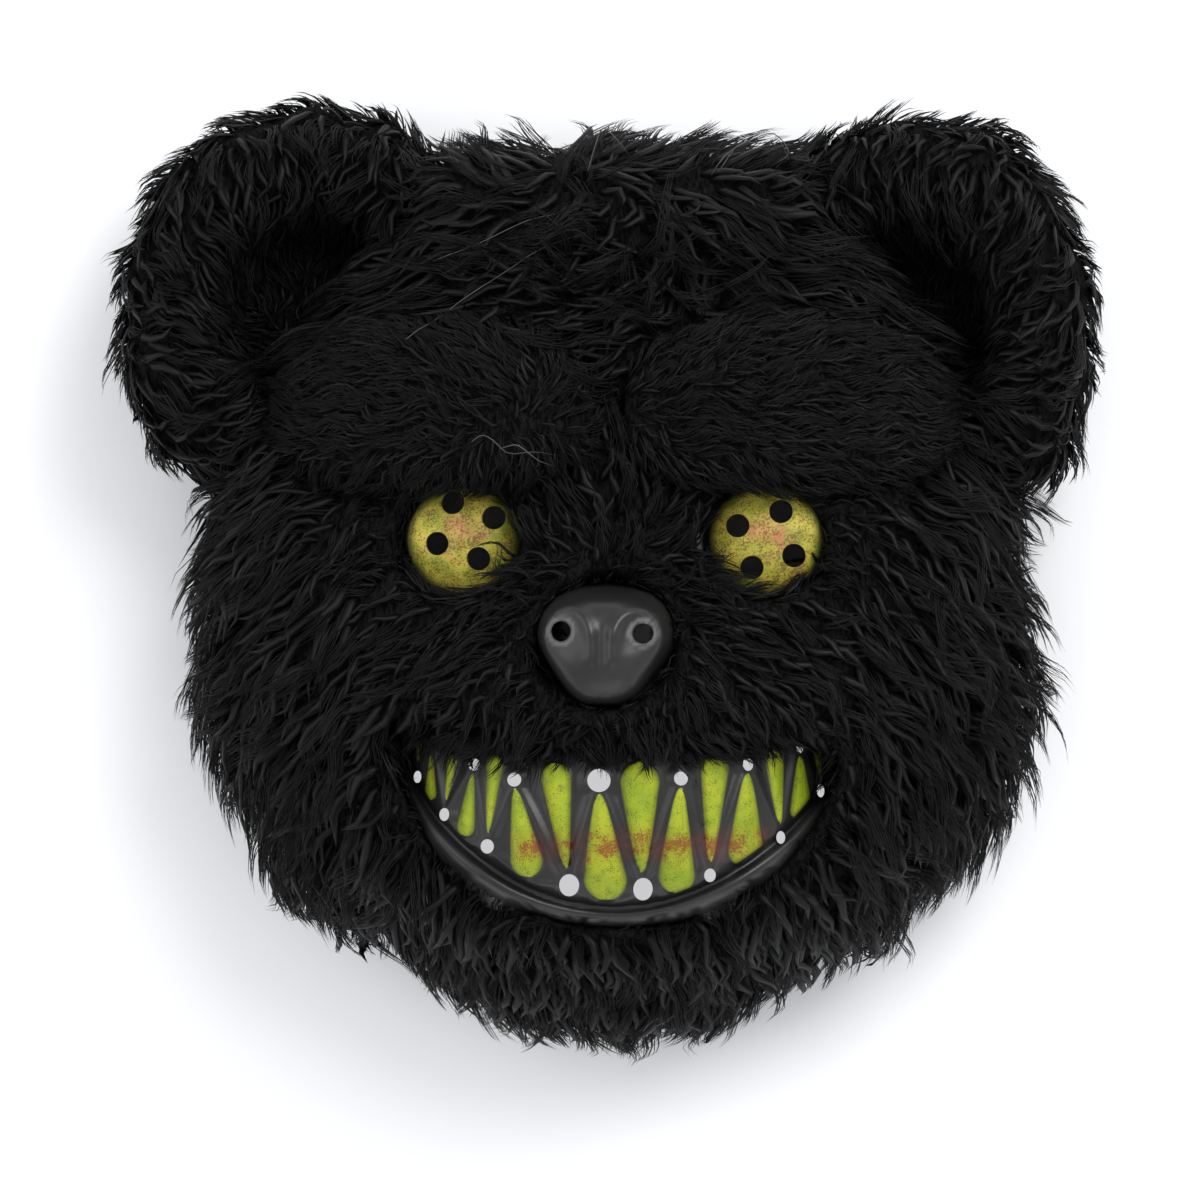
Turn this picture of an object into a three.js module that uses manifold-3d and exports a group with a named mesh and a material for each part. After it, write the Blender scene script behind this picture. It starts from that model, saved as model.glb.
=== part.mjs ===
// Bear mask: a thin moulded face with a toothy grin, under a cover of long fur,
// with two padded brows and two dished plush ears.
//
// Millimetres. The mask lies on its rim on the plane z = 0 with its face up (+Z).
// +Y runs from the chin to the crown and +X is to the right as the face is looked at.
// The face is laid out about the line x = 0, y = 0 midway between the eyes' lower edges;
// at the end the whole group is moved so that its box is centred over the origin.
import * as THREE from 'three';
import { mergeVertices } from 'three/addons/utils/BufferGeometryUtils.js';
import Module from 'manifold-3d';

const wasm = await Module();
wasm.setup();

// Driving dimensions of the head with its fur
const HEAD_CENTRE_Y = -5;
const HEAD_HALF_WIDTH = 124;
const HEAD_UP = 136;
const HEAD_DOWN = 134;
const HEAD_HEIGHT = 87;
const WIDEST_AT = 32;
const HEM_TUCK = 0.1;
const JOWL_TURN = 42 * Math.PI / 180;
const JOWL_OUT = 0.05;
const JAW_TURN = 63 * Math.PI / 180;
const JAW_IN = 0.045;
const TEMPLE_TURN = 43 * Math.PI / 180;
const TEMPLE_IN = 0.06;
const FUR_WIDEST_FALL = 0.74;
const TUFT_DEPTH = 7;
const TUFT_COLUMNS = 28;
const TUFT_ROWS = 3;
const SKIN_ROWS = 18;

// The moulded shell, which ends inside the fur
const SHELL_HALF_WIDTH = 110;
const SHELL_UP = 118;
const SHELL_DOWN = 121;
const SHELL_HEIGHT = 76;
const SHELL_WALL = 1.8;
const SHELL_RIM_FALL = 0.86;
const SHELL_GRID = [26, 12];
const FIT_GAP = 0.3;

// Shell and fur both go on below the table, down to the hem's row, before the cut opens them
const SKIRT = 12;
const HEM_FALL = 0.96;

// Muzzle: a flat-topped rise that carries the nose and the grin
const MUZZLE_TOP = 106;
const MUZZLE_HALF = 66;
const MUZZLE_DROP = 46;
const MUZZLE_Y = -60;
const MUZZLE_REACH = 44;
const MUZZLE_CHIN_DROP = 30;

// Eyes
const EYE_X = 44;
const EYE_Y = 10;
const EYE_RADIUS = 18;
const EYE_RISE = 9;
const EYE_ROOT = 24;
const EYE_FRONT = 80;
const EYE_GRID = [12, 5];
const EYE_WINDOW = [19, 17];
const SOCKET_SPREAD = 26;
const SOCKET_DEPTH = 5;
const PEEPHOLE_RADIUS = 3.4;
const PEEPHOLES_LEFT = [[-7.4, 0], [8.8, 7.4], [4.4, -4.4], [-3.2, 11.6]];
const PEEPHOLES_RIGHT = [[-8.6, 5], [3.8, 9.2], [7.8, -3.4], [-4.4, -7]];

// Nose
const NOSE_Y = -19;
const NOSE_HALF_WIDTH = 18;
const NOSE_HALF_HEIGHT = 17;
const NOSE_FRONT = 122;
const NOSE_DEPTH = 15;
const NOSE_ROOT = 30;
const NOSTRIL_X = 11.5;
const NOSTRIL_Y = -15.5;
const NOSTRIL_RADIUS = 2.9;
const NOSE_GRID = [12, 6];
const NOSE_WINDOW_MARGIN = 2.5;

// The grin: holes along a lower and an upper curve, teeth between them, and a rolled lip
const GRIN_ROLL = -3 * Math.PI / 180;
const GRIN_PIVOT_Y = -70;
const GRIN_TOP = -43;
const LOWER_HOLES = [10.5, 32, 48.5, 58.5, 67];
const UPPER_HOLES = [0, 23, 41, 54];
const GRIN_HOLE_RADII = [3.2, 2.1, 2, 2, 2];
const DRILL_LENGTH = 16;
const LOWER_Y = -88.5;
const LOWER_BEND = 0.0068;
const LOWER_CORNER_BEND = 4.6e-7;
const UPPER_Y = -57.5;
const UPPER_BEND = 0.0042;
const WEB_HALF = 1.3;
const TOOTH_GRID = [6, 4];
const TOOTH_RISE = 2.6;
const TOOTH_TAPER = 0.8;
const LIP_Y = -96;
const LIP_BEND = 0.0085;
const LIP_CORNER_X = 50;
const LIP_CORNER_BEND = 0.035;
const LIP_RADIUS = 3.6;
const LIP_REACH = 66;
const LIP_TIP = 70;
const LIP_STEPS = 15;
const LIP_WINDOW_MARGIN = 0.6;

// Brow pads
const BROW_X = 52;
const BROW_Y = 50;
const BROW_HALF = [51, 26];
const BROW_LIFT = 15;
const BROW_SINK = 7;
const BROW_ARCH = 0.0012;
const BROW_SEAT = 88;
const BROW_SEAT_DROP = 46;
const BROW_SEAT_SLOPE = 0.16;
const BROW_SEAT_REACH = 118;
const BROW_GRID = [18, 7];

// Ears: a thick rolled rim round a furry dish
const EAR_X = [-95, 89];
const EAR_Y = [79, 74];
const EAR_RADIUS = 55;
const EAR_TALLER = 1.1;
const EAR_TILT = 6;
const EAR_ROLL = 13;
const EAR_FLOOR = [12, 20];
const EAR_RIM_TOP = 50;
const EAR_RIM_HALF = 18;
const EAR_ARC_FROM = -0.55 * Math.PI;
const EAR_ARC_SWEEP = 1.5 * Math.PI;
const EAR_ARC_STEPS = 8;
const EAR_TUFT = 7;
const EAR_TUFT_COLUMNS = 14;

// Hills and hollows of the fur's skin: height, middle x and y, half width and half length
const FUR_HILLS = [
  [28, 0, -48, 56, 44], // muzzle
  [9, 0, -20, 30, 26], // round the nose
  [12, 0, -99, 62, 18], // chin
  [8, 0, 62, 70, 30], // forehead
  [7, -66, -40, 34, 44], // cheeks
  [7, 66, -40, 34, 44],
  [-7, -EYE_X, EYE_Y, 24, 20], // eye sockets
  [-7, EYE_X, EYE_Y, 24, 20],
];

// Rises from 0 to 1 as v goes from one value to the other, which may be the lower one.
function smooth(from, to, v) {
  if (from > to) return 1 - THREE.MathUtils.smoothstep(v, to, from);
  return THREE.MathUtils.smoothstep(v, from, to);
}

// How far an outline of radius 1 bulges towards its corners; a power of 2 leaves a circle.
function squareness(turn, power) {
  return (Math.abs(Math.cos(turn)) ** power + Math.abs(Math.sin(turn)) ** power) ** (-1 / power);
}

// A closed ball with its poles up and down, every vertex moved by place(turn, fall),
// where turn runs round the pole axis and fall from 0 at the top to 1 at the bottom.
function mouldedBall(columns, rows, place) {
  const ball = new THREE.SphereGeometry(1, columns, rows).rotateX(Math.PI / 2);
  ball.deleteAttribute('normal');
  ball.deleteAttribute('uv');
  const geometry = mergeVertices(ball, 1e-5);
  const position = geometry.attributes.position;
  const point = new THREE.Vector3();
  for (let i = 0; i < position.count; i += 1) {
    point.fromBufferAttribute(position, i);
    const turn = Math.atan2(point.y, point.x);
    const fall = Math.acos(THREE.MathUtils.clamp(point.z, -1, 1)) / Math.PI;
    const moved = place(turn, fall);
    position.setXYZ(i, moved.x, moved.y, moved.z);
  }
  return geometry;
}

// Moves every vertex out along the surface by the given distance.
function offsetGeometry(geometry, distance) {
  const grown = geometry.clone();
  grown.computeVertexNormals();
  const position = grown.attributes.position;
  const normal = grown.attributes.normal;
  for (let i = 0; i < position.count; i += 1) {
    position.setXYZ(
      i,
      position.getX(i) + normal.getX(i) * distance,
      position.getY(i) + normal.getY(i) * distance,
      position.getZ(i) + normal.getZ(i) * distance,
    );
  }
  grown.deleteAttribute('normal');
  return grown;
}

// Gives the geometry to the solid modeller, and takes a solid back as a geometry.
function solidOf(geometry) {
  const bare = geometry.clone();
  for (const name of Object.keys(bare.attributes)) {
    if (name !== 'position') bare.deleteAttribute(name);
  }
  const merged = mergeVertices(bare, 1e-4);
  return new wasm.Manifold(new wasm.Mesh({
    numProp: 3,
    vertProperties: new Float32Array(merged.attributes.position.array),
    triVerts: new Uint32Array(merged.index.array),
  }));
}

function geometryOf(solid) {
  const mesh = solid.getMesh();
  const geometry = new THREE.BufferGeometry();
  geometry.setAttribute('position', new THREE.BufferAttribute(mesh.vertProperties, 3));
  geometry.setIndex(new THREE.BufferAttribute(mesh.triVerts, 1));
  return geometry;
}

// The biggest body of a solid, without crumbs that a cut left behind.
function mainBody(solid) {
  const bodies = solid.decompose();
  return bodies.reduce((best, body) => (body.volume() > best.volume() ? body : best));
}

// Everything above the table that the mask lies on.
const TABLE = solidOf(new THREE.BoxGeometry(600, 600, 300).translate(0, 0, 150));

// Reach of the outline in a direction: an ellipse with its own reach up and down.
function outlineRadius(turn, halfWidth, up, down) {
  const reach = Math.sin(turn) > 0 ? up : down;
  return 1 / Math.hypot(Math.cos(turn) / halfWidth, Math.sin(turn) / reach);
}

// The muzzle's height over a point of the plan: flat in the middle, rounding off to its ends.
function muzzleHeight(x, y) {
  const across = MUZZLE_DROP * Math.abs(x / MUZZLE_HALF) ** 2.6;
  const along = MUZZLE_CHIN_DROP * Math.abs((y - MUZZLE_Y) / MUZZLE_REACH) ** 3.2;
  return MUZZLE_TOP - across - along;
}

// A round hill of height 1 over a point of the plan, with its own width each way.
function hill(x, y, middleX, middleY, halfX, halfY) {
  return Math.exp(-(((x - middleX) / halfX) ** 2) - (((y - middleY) / halfY) ** 2));
}

// Blends two heights so that the higher one shows, with a soft valley between them.
function blendHigher(a, b, softness) {
  const gap = Math.max(softness - Math.abs(a - b), 0) / softness;
  return Math.max(a, b) + gap * gap * softness / 4;
}

// Height of the shell's dome, with the muzzle and without the eyes and the nose.
function shellHeight(x, y) {
  const turn = Math.atan2(y - HEAD_CENTRE_Y, x);
  const radius = outlineRadius(turn, SHELL_HALF_WIDTH, SHELL_UP, SHELL_DOWN);
  const share = Math.min(Math.hypot(x, y - HEAD_CENTRE_Y) / radius, 1);
  const dome = SHELL_HEIGHT * Math.sqrt(1 - share ** 2.4);
  const edge = smooth(1, 0.9, share);
  const sockets = hill(x, y, -EYE_X, EYE_Y, SOCKET_SPREAD, SOCKET_SPREAD)
    + hill(x, y, EYE_X, EYE_Y, SOCKET_SPREAD, SOCKET_SPREAD);
  const raised = blendHigher(dome, muzzleHeight(x, y) * edge, 16);
  return raised - SOCKET_DEPTH * sockets * edge;
}

// The shell's dome and, below the table, its skirt.
function shellPlace(turn, fall) {
  const radius = outlineRadius(turn, SHELL_HALF_WIDTH, SHELL_UP, SHELL_DOWN);
  if (fall > SHELL_RIM_FALL) {
    const below = Math.min((fall - SHELL_RIM_FALL) / (HEM_FALL - SHELL_RIM_FALL), 1);
    const share = fall > HEM_FALL ? 0 : 1;
    return new THREE.Vector3(
      share * radius * Math.cos(turn),
      share * radius * Math.sin(turn) + HEAD_CENTRE_Y,
      -SKIRT * below,
    );
  }
  const share = Math.sin((fall / SHELL_RIM_FALL) * Math.PI / 2) ** 0.92;
  const x = share * radius * Math.cos(turn);
  const y = share * radius * Math.sin(turn) + HEAD_CENTRE_Y;
  return new THREE.Vector3(x, y, shellHeight(x, y));
}

// The fur's outline, fuller at the jowls, and drawn in beside the chin and behind the ears.
function furRadius(turn) {
  const below = Math.atan2(-Math.sin(turn), Math.abs(Math.cos(turn)));
  const jowl = JOWL_OUT * Math.exp(-(((below - JOWL_TURN) / 0.24) ** 2));
  const jaw = JAW_IN * Math.exp(-(((below - JAW_TURN) / 0.2) ** 2));
  const temple = TEMPLE_IN * Math.exp(-(((-below - TEMPLE_TURN) / 0.3) ** 2));
  return outlineRadius(turn, HEAD_HALF_WIDTH, HEAD_UP, HEAD_DOWN) * (1 + jowl - jaw - temple);
}

// What the muzzle, cheeks, forehead and sockets add to the fur's dome.
function furBulge(x, y) {
  return FUR_HILLS.reduce((sum, [height, ...place]) => sum + height * hill(x, y, ...place), 0);
}

// The fur's skin without its tufts: a dome to its widest row, then inward down to the hem.
function furPlace(turn, fall) {
  const radius = furRadius(turn);
  if (fall <= FUR_WIDEST_FALL) {
    const angle = (fall / FUR_WIDEST_FALL) * Math.PI / 2;
    const share = Math.sin(angle) ** 0.95;
    const x = share * radius * Math.cos(turn);
    const y = share * radius * Math.sin(turn) + HEAD_CENTRE_Y;
    const dome = WIDEST_AT + (HEAD_HEIGHT - WIDEST_AT) * Math.cos(angle) ** 0.85;
    return new THREE.Vector3(x, y, dome + furBulge(x, y) * smooth(1, 0.8, share));
  }
  const down = Math.min((fall - FUR_WIDEST_FALL) / (HEM_FALL - FUR_WIDEST_FALL), 1);
  const share = fall > HEM_FALL ? 0 : 1 - HEM_TUCK * down ** 2;
  return new THREE.Vector3(
    share * radius * Math.cos(turn),
    share * radius * Math.sin(turn) + HEAD_CENTRE_Y,
    WIDEST_AT - (WIDEST_AT + SKIRT) * down,
  );
}

// How far a tuft stands out at a column and row of the grid. Tufts lie like shingles:
// each rises over a few rows to its tip, and the next column of tufts is staggered.
function tuftRise(column, row, rowsPerTuft) {
  const tuft = Math.floor(column / 2);
  const stagger = (tuft * 2) % rowsPerTuft;
  const rise = (1 + (row + stagger) % rowsPerTuft) / rowsPerTuft;
  const parting = column % 2 === 1;
  return parting ? 0.25 * rise : rise;
}

// The fur cover's outside with its tufts.
function furGeometry() {
  const columns = TUFT_COLUMNS * 2;
  const rows = SKIN_ROWS;
  const skin = mouldedBall(columns, rows, furPlace);
  skin.computeVertexNormals();
  const plain = new THREE.SphereGeometry(1, columns, rows).rotateX(Math.PI / 2);
  plain.deleteAttribute('normal');
  plain.deleteAttribute('uv');
  const grid = mergeVertices(plain, 1e-5).attributes.position;
  const position = skin.attributes.position;
  const normal = skin.attributes.normal;
  for (let i = 0; i < position.count; i += 1) {
    const turn = Math.atan2(grid.getY(i), grid.getX(i));
    const column = (Math.round(turn / (2 * Math.PI) * columns) + columns) % columns;
    const row = Math.round(Math.acos(THREE.MathUtils.clamp(grid.getZ(i), -1, 1)) / Math.PI * rows);
    const x = position.getX(i);
    const y = position.getY(i);
    const away = smooth(35, 105, Math.hypot(x, y - HEAD_CENTRE_Y));
    const depth = TUFT_DEPTH * (0.25 + 0.75 * away);
    const lift = row === 0 || row >= rows - 1 ? 0 : depth * (tuftRise(column, row, TUFT_ROWS) - 0.4);
    position.setXYZ(
      i,
      x + normal.getX(i) * lift,
      y + normal.getY(i) * lift,
      position.getZ(i) + normal.getZ(i) * lift,
    );
  }
  skin.deleteAttribute('normal');
  return skin;
}

// Puts a geometry that was drawn in the plan onto the muzzle: its z is the height above it.
function drape(geometry) {
  const position = geometry.attributes.position;
  for (let i = 0; i < position.count; i += 1) {
    const x = position.getX(i);
    const y = position.getY(i);
    position.setZ(i, shellHeight(x, y) + position.getZ(i));
  }
  return geometry;
}

// The grin's own coordinates are level; this turns them by the grin's slight roll.
function rolled(x, y) {
  const c = Math.cos(GRIN_ROLL);
  const s = Math.sin(GRIN_ROLL);
  return new THREE.Vector2(
    c * x - s * (y - GRIN_PIVOT_Y),
    GRIN_PIVOT_Y + s * x + c * (y - GRIN_PIVOT_Y),
  );
}

const lowerCurve = (x) => LOWER_Y + LOWER_BEND * x ** 2 + LOWER_CORNER_BEND * x ** 4;
const upperCurve = (x) => UPPER_Y + UPPER_BEND * x ** 2;
function lipCurve(x) {
  const corner = Math.max(Math.abs(x) - LIP_CORNER_X, 0);
  return LIP_Y + LIP_BEND * x ** 2 + LIP_CORNER_BEND * corner ** 2;
}

// The holes along both curves, each with its place in the plan and its radius.
function grinHoles() {
  const rows = [[LOWER_HOLES, lowerCurve], [UPPER_HOLES, upperCurve]];
  const holes = [];
  for (const [places, curve] of rows) {
    places.forEach((x, i) => {
      for (const side of x === 0 ? [1] : [-1, 1]) {
        holes.push({ at: rolled(side * x, curve(x)), radius: GRIN_HOLE_RADII[i] });
      }
    });
  }
  return holes;
}

// A direction square to the shell at a point.
function shellNormal(x, y) {
  const step = 1.5;
  const slopeX = (shellHeight(x + step, y) - shellHeight(x - step, y)) / (2 * step);
  const slopeY = (shellHeight(x, y + step) - shellHeight(x, y - step)) / (2 * step);
  return new THREE.Vector3(-slopeX, -slopeY, 1).normalize();
}

// A round drill through the wall, square to the shell at a point of the plan.
function squareDrill(at, radius) {
  const sides = radius > 3 ? 8 : 6;
  const up = new THREE.Vector3(0, 1, 0);
  const turn = new THREE.Quaternion().setFromUnitVectors(up, shellNormal(at.x, at.y));
  return new THREE.CylinderGeometry(radius, radius, DRILL_LENGTH, sides)
    .applyQuaternion(turn)
    .translate(at.x, at.y, shellHeight(at.x, at.y));
}

// A round drill straight down through the wall of an eye or the nose.
function uprightDrill(x, y, height, radius) {
  return new THREE.CylinderGeometry(radius, radius, 3 * DRILL_LENGTH, 8)
    .rotateX(Math.PI / 2)
    .translate(x, y, height);
}

// One tooth: a crowned wedge, wide and round at its root and narrow at its tip.
function toothGeometry(root, tip, halfRoot) {
  const along = tip.clone().sub(root);
  const length = along.length();
  const tooth = mouldedBall(...TOOTH_GRID, (turn, fall) => {
    const out = Math.sin(fall * Math.PI) ** 0.6;
    const v = (1 + Math.sin(turn) * out) / 2;
    const taper = 1.2 * (1 - TOOTH_TAPER * v);
    return new THREE.Vector3(
      halfRoot * Math.cos(turn) * out * taper,
      length * v,
      TOOTH_RISE * Math.cos(fall * Math.PI),
    );
  });
  tooth.rotateZ(Math.atan2(along.y, along.x) - Math.PI / 2);
  return tooth.translate(root.x, root.y, 0);
}

// The teeth of the grin, to be joined to the shell; webs of the moulding are left between them.
function grinSolids() {
  const solids = [];
  for (const side of [-1, 1]) {
    LOWER_HOLES.slice(0, -1).forEach((hole, i) => {
      const above = UPPER_HOLES[i + 1] ?? LIP_REACH - 3;
      const root = (UPPER_HOLES[i] + above) / 2;
      solids.push(toothGeometry(
        rolled(side * root, Math.min(upperCurve(root) + 3, GRIN_TOP - 1)),
        rolled(side * hole, lowerCurve(hole) + 5),
        (above - UPPER_HOLES[i]) / 2 - WEB_HALF,
      ));
      const next = LOWER_HOLES[i + 1];
      const middle = (hole + next) / 2;
      solids.push(toothGeometry(
        rolled(side * middle, lowerCurve(middle) - 1),
        rolled(side * above, Math.min(upperCurve(above) - 4, GRIN_TOP - 1)),
        (next - hole) / 2 - WEB_HALF,
      ));
    });
  }
  solids.push(toothGeometry(
    rolled(0, lowerCurve(0) - 1),
    rolled(0, upperCurve(0) - 5),
    LOWER_HOLES[0] - 2 * WEB_HALF,
  ));
  return solids.map((geometry) => solidOf(drape(geometry)));
}

// The rolled lower lip, from one corner of the grin round to the other.
function lipGeometry(radius) {
  const points = [];
  for (let i = 0; i <= LIP_STEPS; i += 1) {
    const x = LIP_REACH * Math.sin((i / LIP_STEPS - 0.5) * Math.PI);
    const flat = rolled(x, lipCurve(x));
    points.push(new THREE.Vector3(flat.x, flat.y, shellHeight(flat.x, flat.y)));
  }
  for (const side of [-1, 1]) {
    const flat = rolled(side * LIP_TIP, lipCurve(LIP_TIP) + 2);
    const tip = new THREE.Vector3(flat.x, flat.y, shellHeight(flat.x, flat.y));
    if (side < 0) points.unshift(tip);
    else points.push(tip);
  }
  const section = new THREE.Shape();
  section.absellipse(0, 0, radius, radius, 0, Math.PI * 2);
  return new THREE.ExtrudeGeometry(section, {
    steps: LIP_STEPS,
    curveSegments: 3,
    extrudePath: new THREE.CatmullRomCurve3(points),
    bevelEnabled: false,
  });
}

// The plastic nose: a rounded button, squarer at the top, standing off the muzzle.
function noseGeometry(shrink) {
  return mouldedBall(...NOSE_GRID, (turn, fall) => {
    const out = Math.sin(fall * Math.PI) ** 0.7;
    const lower = Math.sin(turn) < 0 ? 0.9 : 1;
    const square = squareness(turn, 3);
    const depth = fall < 0.5 ? NOSE_DEPTH - shrink : NOSE_ROOT;
    return new THREE.Vector3(
      (NOSE_HALF_WIDTH * lower - shrink) * out * Math.cos(turn) * square,
      NOSE_Y + (NOSE_HALF_HEIGHT - shrink) * out * Math.sin(turn) * square,
      NOSE_FRONT - NOSE_DEPTH + depth * Math.cos(fall * Math.PI),
    );
  });
}

// An eye: a shallow dome of a big ball, standing out of its socket.
function eyeGeometry(side, shrink) {
  const ball = (EYE_RADIUS ** 2 + EYE_RISE ** 2) / (2 * EYE_RISE);
  const eye = mouldedBall(...EYE_GRID, (turn, fall) => {
    const out = Math.sin(fall * Math.PI);
    return new THREE.Vector3(
      (EYE_RADIUS - shrink) * out * Math.cos(turn),
      (EYE_RADIUS - shrink) * out * Math.sin(turn),
      fall < 0.5 ? Math.sqrt(ball ** 2 - (EYE_RADIUS * out) ** 2) - ball : -EYE_ROOT,
    );
  });
  return eye.translate(side * EYE_X, EYE_Y, EYE_FRONT - shrink);
}

// Dome, nose and eyes, moved out all over by grow, or in where grow is below zero.
function domeSolids(grow) {
  const dome = mouldedBall(...SHELL_GRID, shellPlace);
  return [
    grow === 0 ? dome : offsetGeometry(dome, grow),
    noseGeometry(-grow),
    eyeGeometry(-1, -grow),
    eyeGeometry(1, -grow),
  ].map(solidOf);
}

const joined = (solids) => solids.reduce((all, next) => all.add(next));

// The outside of the moulding without its teeth, moved out by grow.
function shellOutside(grow) {
  return joined([...domeSolids(grow), solidOf(lipGeometry(LIP_RADIUS + grow))]);
}

// The moulded shell: dome, muzzle, eyes, nose, teeth and lip in one, and hollow behind.
function shellSolid() {
  const drills = grinHoles().map((hole) => squareDrill(hole.at, hole.radius));
  for (const side of [-1, 1]) {
    for (const [x, y] of side < 0 ? PEEPHOLES_LEFT : PEEPHOLES_RIGHT) {
      drills.push(uprightDrill(side * EYE_X + x, EYE_Y + y, EYE_FRONT, PEEPHOLE_RADIUS));
    }
    drills.push(uprightDrill(side * NOSTRIL_X, NOSTRIL_Y, NOSE_FRONT, NOSTRIL_RADIUS));
  }
  const cut = joined([...domeSolids(-SHELL_WALL), ...drills.map(solidOf)]);
  const outside = joined([shellOutside(0), ...grinSolids()]);
  return mainBody(outside.subtract(cut).intersect(TABLE));
}

// Openings in the fur, straight through it over the eyes, the nose and the grin.
function furWindows() {
  const windows = [];
  const tall = 220;
  for (const side of [-1, 1]) {
    windows.push(new THREE.CylinderGeometry(1, 1, tall, 12)
      .rotateX(Math.PI / 2)
      .scale(...EYE_WINDOW, 1)
      .translate(side * EYE_X, EYE_Y - 0.5, tall / 2));
  }
  windows.push(new THREE.CylinderGeometry(1, 1, tall, 12)
    .rotateX(Math.PI / 2)
    .scale(NOSE_HALF_WIDTH + NOSE_WINDOW_MARGIN, NOSE_HALF_HEIGHT + NOSE_WINDOW_MARGIN, 1)
    .translate(0, NOSE_Y, tall / 2));
  const outline = [];
  const steps = 10;
  for (let i = 0; i <= steps; i += 1) {
    const x = (LIP_TIP + 1) * Math.sin((i / steps - 0.5) * Math.PI);
    outline.push(rolled(x, lipCurve(x) - LIP_RADIUS - LIP_WINDOW_MARGIN));
  }
  for (let i = steps; i >= 0; i -= 1) {
    const x = LIP_TIP * Math.sin((i / steps - 0.5) * Math.PI);
    outline.push(rolled(x, Math.min(upperCurve(x) + 5, GRIN_TOP)));
  }
  const grin = { depth: tall, bevelEnabled: false };
  windows.push(new THREE.ExtrudeGeometry(new THREE.Shape(outline), grin));
  return joined(windows.map(solidOf));
}

// A brow: a crowned pad, lower edge straighter, sunk a little in the head's fur.
function browGeometry(side, grow) {
  return mouldedBall(...BROW_GRID, (turn, fall) => {
    const out = Math.sin(fall * Math.PI) ** 0.7;
    const square = squareness(turn, 2.5);
    const x = side * BROW_X + (BROW_HALF[0] + grow) * Math.cos(turn) * out * square;
    const arch = BROW_ARCH * (x - side * BROW_X) ** 2;
    const y = BROW_Y + (BROW_HALF[1] + grow) * Math.sin(turn) * out * square - arch;
    const share = Math.min(Math.abs(x) / BROW_SEAT_REACH, 1);
    const higher = Math.max(y - EYE_Y - EYE_RADIUS, 0);
    const under = BROW_SEAT - BROW_SEAT_DROP * share ** 2.2 - BROW_SEAT_SLOPE * higher;
    const rise = fall < 0.5 ? BROW_LIFT + grow : BROW_SINK + grow;
    return new THREE.Vector3(x, y, under + rise * Math.cos(fall * Math.PI));
  });
}

// An ear: a dish with a fat rolled rim, a little taller than wide, tufted round the rim.
function earGeometry() {
  const roll = EAR_RADIUS - EAR_ROLL;
  const [under, floor] = EAR_FLOOR;
  const section = [new THREE.Vector2(0, under), new THREE.Vector2(roll * 0.7, under - 4)];
  for (let i = 0; i <= EAR_ARC_STEPS; i += 1) {
    const angle = EAR_ARC_FROM + (i / EAR_ARC_STEPS) * EAR_ARC_SWEEP;
    section.push(new THREE.Vector2(
      roll + EAR_ROLL * Math.cos(angle),
      EAR_RIM_TOP - EAR_RIM_HALF + EAR_RIM_HALF * Math.sin(angle),
    ));
  }
  section.push(new THREE.Vector2(roll * 0.5, floor), new THREE.Vector2(0, floor));
  const columns = EAR_TUFT_COLUMNS * 2;
  const ear = new THREE.LatheGeometry(section, columns);
  const position = ear.attributes.position;
  for (let i = 0; i < position.count; i += 1) {
    const row = i % section.length;
    const column = Math.floor(i / section.length) % columns;
    const onRim = row > 2 && row < section.length - 3;
    const lift = onRim ? EAR_TUFT * (tuftRise(column, row, TUFT_ROWS) - 0.4) : 0;
    const grow = 1 + lift / EAR_RADIUS;
    position.setXYZ(i, position.getX(i) * grow, position.getY(i), position.getZ(i) * grow);
  }
  return ear.rotateX(Math.PI / 2).scale(1, EAR_TALLER, 1);
}

function matter(color, roughness) {
  return new THREE.MeshStandardMaterial({ color, roughness, metalness: 0 });
}

const shell = shellSolid();
const furOutside = solidOf(furGeometry());
const brows = [-1, 1].map((side) => solidOf(browGeometry(side, 0)));
const browRoom = joined([-1, 1].map((side) => solidOf(browGeometry(side, FIT_GAP))));
const fur = mainBody(furOutside
  .subtract(furWindows())
  .subtract(shellOutside(FIT_GAP))
  .subtract(browRoom)
  .intersect(TABLE));
const headRoom = solidOf(offsetGeometry(furGeometry(), FIT_GAP)).add(browRoom);
const ears = [0, 1].map((i) => mainBody(
  solidOf(earGeometry())
    .rotate([0, EAR_X[i] < 0 ? EAR_TILT : -EAR_TILT, 0])
    .translate([EAR_X[i], EAR_Y[i], 0])
    .subtract(headRoom)
    .intersect(TABLE),
));

const mask = new THREE.Group();
function addPiece(name, solid, material) {
  const mesh = new THREE.Mesh(geometryOf(solid), material);
  mesh.name = name;
  mask.add(mesh);
}

addPiece('face_shell', shell, matter(0x1b1b1c, 0.42));
addPiece('head_fur', fur, matter(0x0b0b0c, 0.85));
addPiece('brow_left', mainBody(brows[0]), matter(0x101011, 0.85));
addPiece('brow_right', mainBody(brows[1]), matter(0x101011, 0.85));
addPiece('ear_left', ears[0], matter(0x0b0b0c, 0.85));
addPiece('ear_right', ears[1], matter(0x0b0b0c, 0.85));

const box = new THREE.Box3().setFromObject(mask);
mask.position.set(-(box.min.x + box.max.x) / 2, -(box.min.y + box.max.y) / 2, -box.min.z);
const part = new THREE.Group();
part.add(mask);
part.updateMatrixWorld(true);

export default part;
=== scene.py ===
# %% [markdown]
# # A bear mask in long black fur
#
# The mask is a costume piece. A thin plastic face is moulded in one with its eyes, nose and
# teeth, and round it goes a cover of long fake fur, with two stuffed brows and two big plush
# ears. It lies on its rim with the face up, and the camera looks down on it.
#
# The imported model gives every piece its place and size. It comes in as a fixed frame, and the
# looks are built round it: nothing in the frame is moved.

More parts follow.
